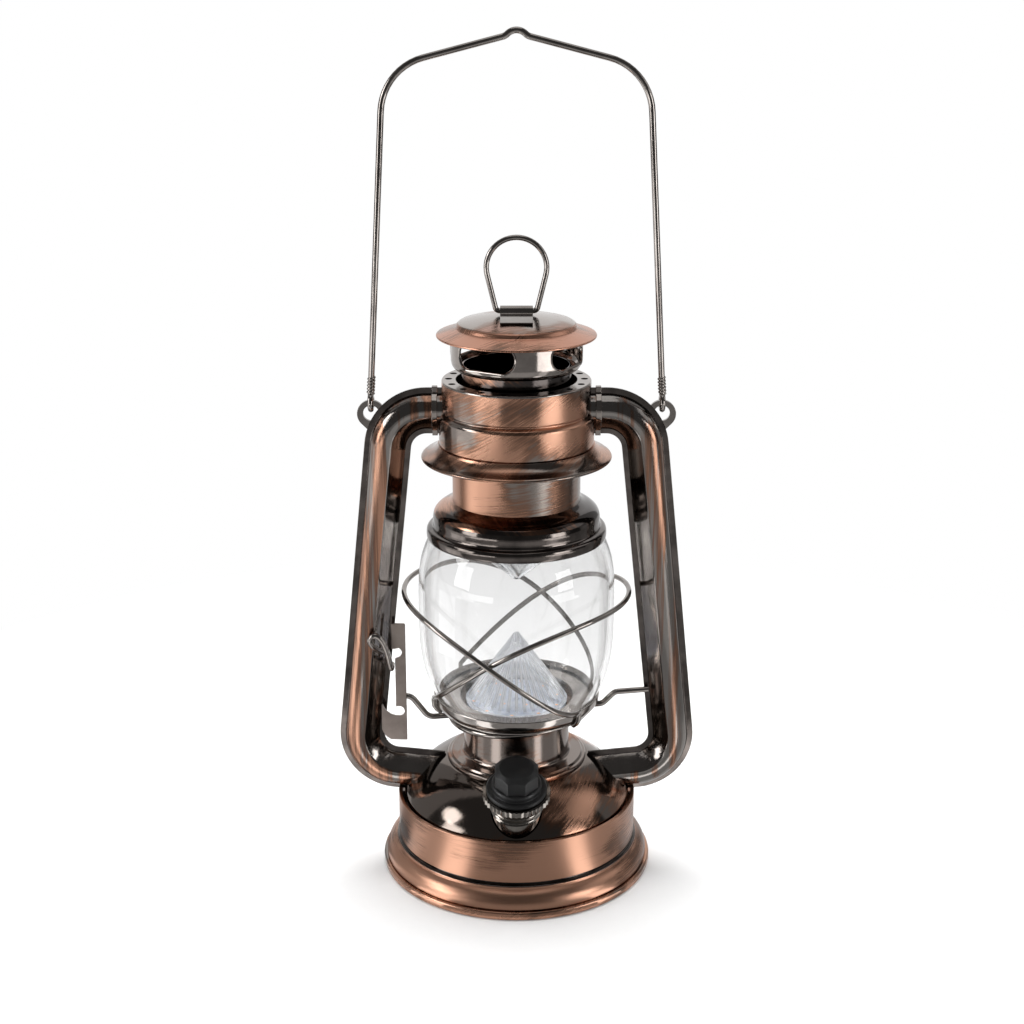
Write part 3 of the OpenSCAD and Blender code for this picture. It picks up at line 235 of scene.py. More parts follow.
# Each tone starts at its angle and ends at the next.
ground = {"near": [(-170, 0.8), (-112, 0.25), (-88, 1.0), (-72, 0.6), (-52, 2.3), (-33, 0.36), (37, 2.5), (51, 0.45),
                   (84, 0.7)],
          "middle": [(-170, 0.8), (-97, 2.2), (-72, 0.45), (-24, 0.6), (40, 1.1), (56, 0.3)],
          "far": [(-170, 0.8), (-100, 1.0), (-70, 2.6), (-48, 0.35), (44, 3.4), (74, 0.3)],
          "horizon": [(-170, 0.9), (-95, 1.4), (-64, 3.3), (-26, 0.3), (36, 3.3), (68, 0.3)]}
for ring, tones in ground.items():
    tones += [(118, 0.7), (160, 0)]
    for (start, tone), (end, _) in zip(tones, tones[1:]):
        card(f"{ring}_ground_card_{start}", [(r, 1) for r in rings[ring]], start, end, tone)
print("ground cards:", sum(len(tones) - 1 for tones in ground.values()))

# %% [markdown]
# The sheet metal is iron, plated with copper, blackened, and relieved with a wire wheel: the strokes rub through to
# the copper on broad patches, and the rest stays a dark, polished brown black. The real strokes are about 0.1 mm
# apart; they are drawn at 0.5 to 1.2 mm, as fine as the image can show.

# %% Antique copper
BLACK_NICKEL = "#6a625d"
BROWN = "#80604f"
COPPER = "#b98d76"


def material(name):
    made = bpy.data.materials.new(name)
    made.use_nodes = True
    tree = made.node_tree
    return made, tree, tree.nodes["Principled BSDF"], add(tree, "TexCoord", out="Object")


def antique(name, stroke_mm, turn, patch_mm, share, bare=BLACK_NICKEL, warm=COPPER, gloss=(0.16, 0.36),
            toward=(0, 0, 0)):
    """stroke_mm: the strokes' length along each axis; turn: their angles; share: how much is rubbed;
    gloss: roughness where black and where rubbed; toward: the side rubbed most."""
    made, tree, body, place = material("antique_copper_" + name)
    along = add(tree, "Mapping", {"vector_type": "TEXTURE"}, Vector=place,
                Rotation=[radians(a) for a in turn], Scale=[s * MM for s in stroke_mm])
    strokes = add(tree, "TexNoise", Vector=along, Scale=1.0, Detail=5.0, Roughness=0.7)
    spread = add(tree, "Mapping", {"vector_type": "TEXTURE"}, Vector=place,
                 Location=(0.31, 0.17, 0.05), Scale=[s * MM for s in patch_mm])
    patches = add(tree, "TexNoise", Vector=spread, Scale=1.0, Detail=2.0, Roughness=0.5)
    slope = add(tree, "VectorMath", {"operation": "DOT_PRODUCT"}, out="Value", i0=place, i1=toward)
    patches = add(tree, "Math", {"operation": "ADD"}, i0=patches, i1=slope)
    rubbed = add(tree, "Math", {"operation": "MULTIPLY_ADD"}, i0=strokes, i1=0.42, i2=patches)
    edge = 0.71 - 0.24 * (share - 0.5)
    stops = [(edge - 0.13, bare), (edge - 0.02, BROWN), (edge + 0.1, warm)]
    colour = add(tree, "ValToRGB", stops=stops, Fac=rubbed)
    rough = add(tree, "MapRange", Value=rubbed, From_Min=edge - 0.1, From_Max=edge + 0.1,
                To_Min=gloss[0], To_Max=gloss[1])
    bump = add(tree, "Bump", Height=strokes, Strength=0.18, Distance=0.0002)
    feed(tree, body, Metallic=1.0, Base_Color=colour, Roughness=rough, Normal=bump)
    return made


brushed_round = antique("brushed_round", (14, 14, 0.5), (0, 0, 0), (34, 34, 26), 0.9, gloss=(0.2, 0.32))
brushed_slant = antique("brushed_slant", (16, 16, 0.7), (0, -32, 0), (26, 26, 22), 0.6,
                        bare="#857c76", gloss=(0.12, 0.28))
brushed_long = antique("brushed_long", (0.8, 1.2, 60), (0, 0, 0), (5, 9, 120), 0.1,
                       bare="#8b8682", gloss=(0.12, 0.26), toward=(-1.2, 0, 0))
brushed_pink = antique("canopy", (9, 0.6, 20), (0, 0, 25), (26, 26, 20), 0.8, warm="#c4917a", gloss=(0.16, 0.3))
brushed_cap = antique("cap", (9, 0.6, 20), (0, 0, 25), (26, 26, 20), 0.2,
                      bare="#a39a94", warm="#c09a8c", gloss=(0.14, 0.28))
brushed_chimney = antique("chimney", (20, 20, 0.6), (0, -8, 0), (22, 22, 60), 0.5,
                          bare="#8a827c", gloss=(0.2, 0.3), toward=(-7, 0, 0))
dome_dark = antique("dark_dome", (12, 12, 0.9), (0, -38, 0), (24, 24, 20), -0.35,
                    bare="#6f6660", gloss=(0.08, 0.3), toward=(4.5, 0, 0))
hood_dark = antique("dark_hood", (14, 14, 0.8), (0, 40, 0), (20, 20, 16), -0.3,
                    bare="#4a4543", gloss=(0.07, 0.24), toward=(-6, -4, 0))
neck_dark = antique("dark_neck", (12, 12, 0.6), (0, -12, 0), (24, 24, 20), 0.1, bare="#857b75", gloss=(0.12, 0.24))
print("antique copper finishes:", sum(m.name.startswith("antique") for m in bpy.data.materials))

# %% [markdown]
# The wires and small stampings are black nickel: the same dark polish with no copper rubbed out, a little cloudy
# from handling. The knob is moulded ABS with a fine satin texture, the threads are bright nickel.

# %% Other finishes
def cloudy(name, dark, light, cloud_mm, gloss, metallic=1.0, grain_mm=0.5, grain=0.04):
    made, tree, body, place = material(name)
    clouds = add(tree, "TexNoise", Vector=place, Scale=1000 / cloud_mm, Detail=4.0, Roughness=0.6)
    fine = add(tree, "TexNoise", Vector=place, Scale=1000 / grain_mm, Detail=2.0)
    colour = add(tree, "ValToRGB", stops=[(0.35, dark), (0.65, light)], Fac=clouds)
    rough = add(tree, "MapRange", Value=clouds, From_Min=0.3, From_Max=0.7, To_Min=gloss[0], To_Max=gloss[1])
    bump = add(tree, "Bump", Height=fine, Strength=grain, Distance=0.0002)
    feed(tree, body, Base_Color=colour, Roughness=rough, Normal=bump, Metallic=metallic)
    return made


tube_side = cloudy("black_nickel_tube_side", "#7d7672", "#96908b", 22, (0.08, 0.14))
tube_seam = cloudy("black_nickel_seam", "#4c4744", "#6b6460", 9, (0.08, 0.14))
black_nickel = cloudy("black_nickel_polish", "#8d8580", "#a59d97", 14, (0.08, 0.16))
gallery_nickel = cloudy("bright_nickel_gallery", "#a39c97", "#bab4af", 14, (0.1, 0.18))
nickel_wire = cloudy("black_nickel_wire", "#857f7b", "#9d9792", 9, (0.08, 0.16), grain=0.01)
plate_nickel = cloudy("black_nickel_stamped_plate", "#867b75", "#9c918a", 12, (0.36, 0.46))
bright_nickel = cloudy("bright_nickel_thread", "#77726d", "#98928c", 6, (0.1, 0.2))
abs_black = cloudy("satin_black_ABS", "#0b0b0c", "#121213", 5, (0.36, 0.5), 0.0, 0.35, 0.2)
steel = cloudy("zinc_plated_steel", "#8c8c8f", "#a9a9ac", 6, (0.25, 0.4))
tinned = cloudy("tinned_brass", "#b5b1a4", "#cbc8bd", 6, (0.22, 0.34))
sleeve = cloudy("cell_sleeve", "#33593c", "#41704c", 8, (0.3, 0.42), 0.0)
red_pvc = cloudy("red_PVC", "#8f2a22", "#a83a30", 4, (0.45, 0.6), 0.0)
black_pvc = cloudy("black_PVC", "#161617", "#222224", 4, (0.45, 0.6), 0.0)
brass = cloudy("turned_brass", "#a88b4e", "#c2a566", 5, (0.22, 0.32))
print("finishes so far:", len(bpy.data.materials))

# %% [markdown]
# The globe is blown soda-lime glass, the light cone and the small reflector are clear acrylic. Glass is all
# reflection and bending: a trace of grey and faint waves in the surface keep it from looking like air. The ribbed
# cone is milky along its ribs, and clear between them and at its foot, where the LEDs show.

# %% Clear materials
SKIRT = 0.0752, 0.079  # the cone turns milky between these heights, in metres


def clear(name, tint, ior, wave_mm, wave, haze, ribs=0):
    """ribs: how many milky lines run up round the axis, where the moulding is thick."""
    made, tree, body, place = material(name)
    waves = add(tree, "TexNoise", Vector=place, Scale=1000 / wave_mm, Detail=2.0)
    bump = add(tree, "Bump", Height=waves, Strength=wave, Distance=0.0003)
    rough = add(tree, "MapRange", Value=waves, To_Min=haze[0], To_Max=haze[1])
    feed(tree, body, Normal=bump, Roughness=rough, Base_Color=linear(tint), IOR=ior, Transmission_Weight=1.0)
    if ribs:
        axes = add(tree, "SeparateXYZ", out=None, Vector=place)
        turn = add(tree, "Math", {"operation": "ARCTAN2"}, i0=axes["Y"], i1=axes["X"])
        beat = add(tree, "Math", {"operation": "MULTIPLY"}, i0=turn, i1=ribs)
        ridge = add(tree, "Math", {"operation": "COSINE"}, i0=beat)
        thin = add(tree, "MapRange", Value=ridge, From_Min=0.1, From_Max=0.9, To_Min=0.9, To_Max=0.15)
        skirt = add(tree, "MapRange", Value=axes["Z"], From_Min=SKIRT[0], From_Max=SKIRT[1],
                    To_Min=0.97, To_Max=0.0)
        thin = add(tree, "Math", {"operation": "MAXIMUM"}, i0=thin, i1=skirt)
        # The globe keeps diffuse lamp light out in this renderer, so the ribs get the daylight they would scatter.
        feed(tree, body, Transmission_Weight=thin, Emission_Color=linear("#f4f6fa"), Emission_Strength=0.08)
    return made


blown_glass = clear("blown_soda_lime_glass", "#f0f0f0", 1.5, 16, 0.05, (0.0, 0.02))
clear_acrylic = clear("moulded_clear_acrylic", "#eef0f1", 1.49, 5, 0.05, (0.02, 0.06))
ribbed_acrylic = clear("moulded_ribbed_acrylic", "#f7f8fa", 1.2, 5, 0.05, (0.05, 0.12), ribs=36)
print("clear materials:", blown_glass.name, clear_acrylic.name, ribbed_acrylic.name)

# %% [markdown]
# The LED board is white solder mask with small grey pads, the LEDs' windows are amber phosphor. Both glow a little:
# the board's glow is painted light, standing in for the daylight that the globe keeps from it.

# %% Board and phosphor
board, tree, body, place = material("white_solder_mask_board")
specks = add(tree, "TexVoronoi", Vector=place, Scale=1000 / 3.2)
stops = [(0.0, "#6f7d96"), (0.18, "#c3cfe4"), (0.6, "#e6ecf6")]
mask = add(tree, "ValToRGB", stops=stops, Fac=specks)
# The board's emission is a painted glow, light that the globe keeps out of the inside.
feed(tree, body, Base_Color=mask, Emission_Color=mask, Emission_Strength=0.14, Roughness=0.4)

led, tree, body, place = material("warm_phosphor_chip")
grit = add(tree, "TexNoise", Vector=place, Scale=1000 / 0.6)
amber = add(tree, "ValToRGB", stops=[(0.3, "#dd8c34"), (0.7, "#efb05a")], Fac=grit)
feed(tree, body, Base_Color=amber, Emission_Color=amber, Emission_Strength=0.9, Roughness=0.35)
print("materials in all:", len(bpy.data.materials))

# %% [markdown]
# Most pieces are turned: their section is drawn, and Spin carries it once round the axis. A small bevel on the
# edges catches the light.

# %% Turned pieces
MERGE = 0.002 * MM  # points nearer than this become one


def clean():
    bpy.ops.mesh.select_all(action="SELECT")
    bpy.ops.mesh.remove_doubles(threshold=MERGE)
    bpy.ops.mesh.normals_make_consistent(inside=False)
    mode("OBJECT")


def apply(piece, kind, **settings):
    bpy.context.view_layer.objects.active = piece
    modifier = piece.modifiers.new(kind.lower(), kind)
    for key, value in settings.items():
        setattr(modifier, key, value)
    bpy.ops.object.modifier_apply(modifier=modifier.name)


def soften(piece, width, steps=2, angle=30):
    apply(piece, "BEVEL", width=width * MM, segments=steps, limit_method="ANGLE", angle_limit=radians(angle))


def turned(name, section, steps=128, edge=0.15):
    """A section of [radius, height] points, spun round the axis; it is closed unless it starts and ends there."""
    ring = list(section)
    if ring[0][0] > 0 or ring[-1][0] > 0:
        ring.append(ring[0])
    piece = draw(name, [(r, 0, z) for r, z in ring])
    bpy.ops.mesh.spin(steps=steps, angle=2 * pi, center=(0, 0, 0), axis=(0, 0, 1))
    clean()
    if edge:
        soften(piece, edge)
    return piece


print("points merge within", MERGE, "m")

# %% [markdown]
# Each finished piece is handed over: it gets smooth shading, a finish, the body that it rides on and the CAD nodes
# that it replaces. A second finish on some of its faces comes after that.

# %% Handing over
def select(*pieces):
    clear_selection()
    for piece in pieces:
        piece.select_set(True)
    bpy.context.view_layer.objects.active = pieces[0]


def cut(piece, tools, operation="DIFFERENCE"):
    for tool in tools:
        apply(piece, "BOOLEAN", operation=operation, object=tool, solver="EXACT")
    select(*tools)
    bpy.ops.object.delete()


def hand_over(piece, body, nodes, slot, finish, angle=35):
    select(piece)
    bpy.ops.object.transform_apply()
    bpy.ops.object.shade_smooth_by_angle(angle=radians(angle))
    apply(piece, "WEIGHTED_NORMAL", keep_sharp=True)
    piece.data.materials.clear()
    piece.data.materials.append(finish)
    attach(piece, body)
    if nodes:
        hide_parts(*nodes)
    print(piece.name, len(piece.data.polygons), "faces,", [round(v * 1000, 1) for v in piece.dimensions], "mm")


def zone(piece, finish, chosen):
    """Gives the chosen faces one more finish."""
    piece.data.materials.append(finish)
    for face in piece.data.polygons:
        if chosen(face):
            face.material_index = len(piece.data.materials) - 1


# %% [markdown]
# The foot: a rolled rim that stands on the table, the plate behind it with the opening for the battery door, and
# the tank wall, which swells out over the rim below a bead and a black groove.

# %% Foot and tank wall
def arc(cx, cz, r, start, end, n):
    turn = [radians(start + (end - start) * i / n) for i in range(n + 1)]
    return [(cx + r * cos(t), cz + r * sin(t)) for t in turn]


def bow(a, b, r, n):
    """Points on an outward arc of radius r from a up to b."""
    a, b = Vector(a), Vector(b)
    half = (b - a) / 2
    out = Vector((-half.y, half.x)).normalized()
    centre = a + half + out * sqrt(r * r - half.length_squared)
    t0, t1 = atan2(*(a - centre).yx), atan2(*(b - centre).yx)
    turn = [t0 + (t1 - t0) * i / n for i in range(n + 1)]
    return [(centre.x + r * cos(t), centre.y + r * sin(t)) for t in turn]


def block(centre, size):
    bpy.ops.mesh.primitive_cube_add(size=1, location=[c * MM for c in centre])
    made = bpy.context.object
    made.scale = [s * MM for s in size]
    bpy.ops.object.transform_apply()
    return made


rim = turned("foot_rim", [(0, 2.2), (54.5, 2.2), (54.5, 0), (56.6, 0)] + arc(56.6, 0.9, 0.9, -60, 0, 4)
             + arc(56.6, 2.6, 0.9, 0, 90, 6) + [(54.5, 3.5), (54.5, 3.0), (0, 3.0)], steps=96)
cut(rim, [block((0, 2.6, 2.6), (57.1, 66.8, 6))])
hand_over(rim, "frame", ["base_plate"], "antique", brushed_slant)

groove = [(50.3, 12.5), (49.8, 12.75), (49.7, 13.05), (50.2, 13.3), (50.6, 13.5), (50.7, 13.9)]
wall_in = [(50.7, 31.5), (50.4, 31.8), (49.5, 31.8), (49.2, 31.5), (49.2, 28.8), (49.9, 27.8), (49.9, 24),
           (48.9, 22.5), (48.9, 12)]
wall = turned("tank_wall_turned", bow((56.0, 3.8), (51.7, 10.9), 6.8, 12) + arc(50.95, 11.55, 0.75, 0, 110, 6)
              + groove + wall_in + bow((55.04, 3.8), (49.9, 11.2), 16, 12)[::-1], edge=0.1)
hand_over(wall, "frame", ["tank_wall"], "antique", brushed_round)
zone(wall, tube_seam, lambda face: 12.0 < face.center.z / MM < 13.6 and face.center.xy.length > 49.4 * MM)

# %% [markdown]
# The dome closes the tank. It is spun sheet with a groove at its edge, and a hole for the filler neck, which
# leans forward by 16 degrees: a cylinder set along the neck's axis is subtracted with a Boolean modifier.

# %% Tank dome and neck
KNOB_FRAME = Matrix.Translation(Vector((0, -41.8, 50.0)) * MM) @ Matrix.Rotation(radians(16), 4, "X")
SHEET = 0.56  # the dome's inside lies this far in and down


def rod(sides, radius, length, centre=(0, 0, 0), turn=(0, 0, 0)):
    bpy.ops.mesh.primitive_cylinder_add(vertices=sides, radius=radius * MM, depth=length * MM,
                                        location=[c * MM for c in centre], rotation=turn)
    return bpy.context.object


def put(piece, matrix):
    piece.data.transform(matrix)
    return piece


top_line = bow((48.2, 31.2), (29.6, 47.7), 34, 24)
dome = turned("tank_dome_spun", [(49.15, 23.8), (49.15, 30.2), (48.2, 30.2)] + top_line + [(18, 47.7), (18, 46.9)]
              + [(r - SHEET, z - SHEET) for r, z in top_line[::-1]]
              + [(47.4, 29.4), (48.35, 29.4), (48.35, 23.8)], edge=0)
cut(dome, [put(rod(64, 10.65, 40), KNOB_FRAME)])
hand_over(dome, "frame", ["tank_dome"], "antique", dome_dark)

neck = turned("neck_turned", [(18, 47.7), (29.6, 47.7), (29.6, 48.6), (29.2, 49.0), (28.2, 49.1), (28.0, 49.5),
                              (27.6, 50.0), (23.8, 50.0), (22.9, 50.35), (22.45, 51.0), (22.3, 52.0), (22.3, 68.5),
                              (25.5, 68.5), (25.5, 69.3), (6, 69.3), (6, 68.5), (21.5, 68.5), (21.5, 49.2),
                              (18, 49.2)], steps=96)
hand_over(neck, "frame", ["neck_collar"], "antique", neck_dark)

# %% [markdown]
# The side tubes are two stampings each, clinched along flat seams. One half's section is drawn, spun round the
# upper bend, extruded down the leg and spun round the lower bend; the other halves are mirrored copies.
# The seams are darker, and the sides that face the globe have no copper.

# %% Side tubes
UPPER_X, UPPER_Z = 36.3, 183.2  # centre of the upper bend
LOWER_X, LOWER_Z = 49.8, 56.9  # centre of the lower bend
BEND_IN, BEND_OUT = 6.5, 25.5  # radii of both bends
CROWN_END = 29.2  # where the tube starts, inside the crown
LEAN = atan2(LOWER_X - UPPER_X, UPPER_Z - LOWER_Z)
DIP = radians(6)  # the last run, 20 mm long, falls towards the tank
# The section: distance from the inner seam, height above the seams' plane.
outer_half = [(0, 0.6), (2.2, 0.6), (2.6, 1.3), (4.8, 3.7), (7.4, 6.0), (8.2, 6.5), (9.2, 6.8), (10.6, 6.95),
              (12, 6.75), (13.4, 6.25), (14.6, 5.4), (15.6, 4.2), (16.2, 2.9), (16.5, 1.6), (16.6, 0.6), (19, 0.6)]
inner_half = [(19, 0), (15.9, 0), (15.3, 2.9), (13.9, 4.8), (11.8, 5.9), (9.4, 6.1), (8.1, 5.6), (3.2, 1.0),
              (2.3, 0), (0, 0)]


def half_tube(name):
    """The left front half: from the crown, out, down the leg and in to the tank."""
    section = outer_half + inner_half + outer_half[:1]
    piece = draw(name, [(-CROWN_END, -w, UPPER_Z + BEND_IN + h) for h, w in section])
    push(((CROWN_END - UPPER_X) * MM, 0, 0))
    upper, lower = (-UPPER_X * MM, 0, UPPER_Z * MM), (-LOWER_X * MM, 0, LOWER_Z * MM)
    bpy.ops.mesh.spin(steps=18, angle=pi / 2 - LEAN, center=upper, axis=(0, 1, 0))
    push(Vector(lower) - Vector(upper))
    bpy.ops.mesh.spin(steps=20, angle=pi / 2 + LEAN - DIP, center=lower, axis=(0, 1, 0))
    push((20 * MM * cos(DIP), 0, -20 * MM * sin(DIP)))
    clean()
    return piece


def copied(piece, name, mirror=(1, 1)):
    """A copy with its own mesh, mirrored where a sign is negative."""
    clear_selection()
    twin = piece.copy()
    twin.data = piece.data.copy()
    twin.name = twin.data.name = name
    bpy.context.collection.objects.link(twin)
    put(twin, Matrix.Diagonal((mirror[0], mirror[1], 1, 1)))
    if mirror[0] * mirror[1] < 0:
        twin.data.flip_normals()
    return twin


front_left = half_tube("tube_front_left_half")
soften(front_left, 0.22, 2, 50)
halves = {"tube_front_left": front_left, "tube_rear_left": copied(front_left, "tube_rear_left_half", (1, -1)),
          "tube_front_right": copied(front_left, "tube_front_right_half", (-1, 1)),
          "tube_rear_right": copied(front_left, "tube_rear_right_half", (-1, -1))}
for node, piece in halves.items():
    hand_over(piece, "frame", [node], "antique", brushed_long)
    middle = Vector((copysign(30, piece.data.vertices[0].co.x) * MM, 0, 120 * MM))
    zone(piece, tube_side, lambda face: face.normal.dot(middle - face.center) > 0 and abs(face.center.y) / MM < 6.4)
    zone(piece, tube_seam, lambda face: abs(face.center.y) / MM < 0.9)

# %% [markdown]
# Thin collars close the upper ends of the tubes against the crown. The tube's own section, drawn a little larger,
# is extruded to a short band and given a wall with Solidify.

# %% Tube collars
ROOM = 0.3  # how much larger than the tube


def join(pieces):
    select(*pieces)
    bpy.ops.object.join()
    return bpy.context.object


def collar(name, side):
    grown = [(h + copysign(ROOM, h - 9.5), w + ROOM) for h, w in outer_half]
    loop = grown + [(h, -w) for h, w in grown[::-1]]
    piece = draw(name, [(side * 31.8, -w, UPPER_Z + BEND_IN + h) for h, w in loop + loop[:1]])
    push((side * 2.2 * MM, 0, 0))
    clean()
    apply(piece, "SOLIDIFY", thickness=0.5 * MM, offset=1)
    soften(piece, 0.18)
    return piece


collars = join([collar("tube_collars", -1), collar("right_collar", 1)])
hand_over(collars, "frame", ["tube_ferrules"], "gunmetal", black_nickel)

# %% [markdown]
# The ears that carry the bail are small drops of sheet, held in the tube's seam. The outline is drawn, filled and
# extruded; the hole and the tube's own circle are subtracted, and a bevel rounds the stamped edge.

# %% Bail ears
EAR_X = 58.58


def plate(name, outline, step):
    """A closed outline, filled and extruded by one step."""
    piece = draw(name, outline)
    bpy.ops.mesh.remove_doubles(threshold=MERGE)
    bpy.ops.mesh.edge_face_add()
    push(step)
    clean()
    return piece


def ear(name, side):
    drop = arc(EAR_X, 197.9, 5.7, -45, 225, 36) + [(58.9, 190.2)]
    piece = plate(name, [(side * x, -0.9, z) for x, z in drop + drop[:1]], (0, 1.8 * MM, 0))
    along_y = (pi / 2, 0, 0)
    cut(piece, [rod(96, 3.2, 6, (side * EAR_X, 0, 198.2), along_y),
                rod(96, BEND_OUT, 6, (side * UPPER_X, 0, UPPER_Z), along_y)])
    soften(piece, 0.85, 4, 50)
    return piece


for side, node in ((-1, "ear_left"), (1, "ear_right")):
    hand_over(ear(node + "_stamped", side), "frame", [node], "gunmetal", tube_side)

# %% [markdown]
# The crown is turned sheet in three pieces: a drum with a wider lower band, a perforated ledge on top and a
# flared skirt with a rolled edge. The ledge's holes are cylinders, set round the axis, joined and subtracted.

# %% Crown
HOLES, HOLE_RING = 18, 27.25


def eased(line, times=2):
    """Cuts the corners of an open line, so that it bends instead of breaking."""
    line = [Vector(p) for p in line]
    for _ in range(times):
        inner = []
        for a, b in zip(line, line[1:]):
            inner += [a * 0.75 + b * 0.25, a * 0.25 + b * 0.75]
        line = [line[0]] + inner + [line[-1]]
    return [tuple(p) for p in line]


drum = turned("crown_drum", [(30.4, 185.8), (31.0, 185.8), (31.4, 186.6)] + arc(29.5, 196.9, 1.9, 0, 70, 8)
              + [(29.5, 199.1), (29.5, 199.7), (30.0, 200.0), (30.1, 200.5), (30.1, 211.5), (29.1, 211.5),
                 (28.5, 199.1), (30.4, 196.2)])
hand_over(drum, "frame", ["crown_body"], "antique", brushed_slant)

ledge = turned("crown_ledge_punched", [(24.4, 211.5), (30.1, 211.5)] + arc(29.5, 211.7, 0.6, 0, 90, 4)
               + [(24.4, 212.3)], edge=0.1)
holes = []
for i in range(HOLES):
    turn = 2 * pi * i / HOLES
    holes.append(rod(24, 1.45, 4, (HOLE_RING * cos(turn), HOLE_RING * sin(turn), 212)))
cut(ledge, [join(holes)])
hand_over(ledge, "frame", ["crown_ledge"], "gunmetal", black_nickel)

skirt_top = eased([(31.8, 185.8), (32.3, 184.6), (34.4, 182.6), (38.0, 181.3)])
skirt_under = eased([(31.2, 184.4), (32.2, 183.0), (34.2, 181.7), (37.6, 180.7)])
skirt = turned("crown_skirt_flared", [(26.4, 185.0), (31.1, 185.0)] + skirt_under
               + arc(38.1, 180.5, 0.6, -150, 70, 8) + skirt_top[::-1] + [(26.4, 185.8)], edge=0.08)
hand_over(skirt, "frame", ["crown_skirt"], "antique", brushed_slant)

# %% [markdown]
# Hood, chimney tube and draught tube ride on the chimney body. The hood is one spun sheet: its outer and inner
# lines are eased polygons, so the shoulder and the rolled rim come out round. Below the shoulder it is darker.

# %% Hood and chimney
hood_out = eased([(36.0, 146.4), (37.0, 146.6), (37.0, 149.8), (36.3, 150.8), (34.6, 151.3), (34.3, 152.6),
                  (34.3, 155.6), (33.5, 158.0), (31.0, 160.0), (28.2, 160.9), (26.15, 162.2)])
hood_in = eased([(26.15, 161.2), (28.0, 160.1), (30.6, 159.2), (32.7, 157.4), (33.5, 155.4), (33.5, 152.0),
                 (34.2, 150.7), (36.0, 149.8), (36.2, 147.4), (35.6, 146.9)])
hood = turned("hood_spun", hood_out + hood_in, edge=0)
hand_over(hood, "chimney", ["hood"], "gunmetal", hood_dark)
zone(hood, tube_seam, lambda face: face.center.z < 157 * MM)

chimney = turned("chimney_rolled", [(25.3, 158.4), (26.1, 158.4), (26.1, 183.7), (25.8, 184.0), (22.05, 184.0),
                                    (22.05, 183.2), (25.3, 183.2)])
hand_over(chimney, "chimney", ["chimney_tube"], "antique", brushed_chimney)

draught = turned("draught_rolled", [(21.2, 182.4), (22.0, 182.4), (22.0, 218.5), (21.2, 218.5)], steps=96, edge=0.1)
hand_over(draught, "chimney", ["draught_tube"], "gunmetal", hood_dark)

# %% [markdown]
# The vent collar has four long windows with turned-in lips. Slot-shaped cutters, drawn as a stadium and extruded
# outwards, make the windows; a thin wire round each opening is the lip. A wire is a drawn line that is made a
# curve, given a round section and turned back into a mesh.

# %% Vent collar
WINDOW_Z, WINDOW_RISE = 225.3, 5.6  # middle and half height of the windows


def wire(name, points, radius, round_steps=4):
    draw(name, points)
    bpy.ops.mesh.remove_doubles(threshold=MERGE)
    mode("OBJECT")
    bpy.ops.object.convert(target="CURVE")
    piece = bpy.context.object
    piece.data.bevel_depth = radius * MM
    piece.data.bevel_resolution = round_steps
    piece.data.use_fill_caps = True
    bpy.ops.object.convert(target="MESH")
    return bpy.context.object


def slot_line(r, half, turn):
    """A stadium, 2 * half long, laid round a cylinder of radius r."""
    flat = [(half - WINDOW_RISE + a, b) for a, b in arc(0, 0, WINDOW_RISE, -90, 90, 10)]
    flat = flat + [(-a, -b) for a, b in flat]
    return [(r * cos(turn + a / r), r * sin(turn + a / r), WINDOW_Z + b) for a, b in flat + flat[:1]]


vent_out = eased([(24.4, 217.0), (25.8, 218.2), (26.3, 220.2), (26.3, 222.4)])
vent_in = eased([(25.5, 222.4), (25.5, 220.4), (25.2, 219.0), (24.2, 217.8)])
vent = turned("vent_collar_spun", [(22.05, 217.0)] + vent_out + [(26.3, 231.7), (25.5, 231.7)] + vent_in
              + [(22.05, 217.8)], edge=0)
cutters, lips = [], []
for i in range(4):
    turn = radians(60 + 90 * i)
    outwards = (12 * MM * cos(turn), 12 * MM * sin(turn), 0)
    cutters.append(plate("cutter", slot_line(20, 13.9, turn), outwards))
    lips.append(wire("vent_lips", slot_line(25.95, 13.3, turn), 0.55, 3))
cut(vent, cutters)
hand_over(vent, "chimney", ["vent_collar"], "gunmetal", black_nickel)
hand_over(join(lips), "chimney", [], "gunmetal", black_nickel)

# %% [markdown]
# The canopy is a brim with a rolled edge and a low dome, which is less coppery than the brim. The strap on it holds
# the lift ring: a strip that goes over the ring's wire, drawn from the side, extruded across and thickened.

# %% Canopy and strap
CAP_EDGE, CAP_RISE, CAP_TOP = 22.4, 2.7, 238.4
CAP = (CAP_EDGE ** 2 + CAP_RISE ** 2) / (2 * CAP_RISE)  # the dome's radius
RING_Z = 239.9  # axis of the lift ring
STRAP_WIDTH = 13


def on_cap(y, up=0.0):
    """A point of the dome's section, or one a little above it."""
    return (y, CAP_TOP - CAP * (1 - cos(asin(y / CAP))) + up)


cap_line = [on_cap(CAP * sin(asin(CAP_EDGE / CAP) * i / 10)) for i in range(11)]
canopy_under = [(r, z - 0.8) for r, z in cap_line] + [(23.5, 233.1), (24.4, 232.36), (31.0, 230.5)]
canopy_over = (arc(31.55, 230.3, 0.5, -160, 60, 7) + [(24.7, 233.2), (24.2, 233.7), (23.9, 234.6), (23.3, 235.2)]
               + cap_line[::-1])
canopy = turned("canopy_spun", canopy_under + canopy_over, edge=0.12)
hand_over(canopy, "chimney", ["canopy"], "copper", brushed_pink)
zone(canopy, brushed_cap, lambda face: face.center.xy.length < 23.4 * MM)

strap_foot = [on_cap(y, 0.55) for y in (15, 11, 7, 3.6)] + [(2.3, 238.9)]
strap_path = strap_foot + arc(0, RING_Z, 1.65, 0, 180, 12) + [(-y, z) for y, z in strap_foot[::-1]]
strap = draw("ring_strap_strip", [(-STRAP_WIDTH / 2, y, z) for y, z in strap_path])
push((STRAP_WIDTH * MM, 0, 0))
clean()
apply(strap, "SOLIDIFY", thickness=0.8 * MM, offset=0)
soften(strap, 0.2)
hand_over(strap, "chimney", ["ring_strap"], "gunmetal", tube_side)

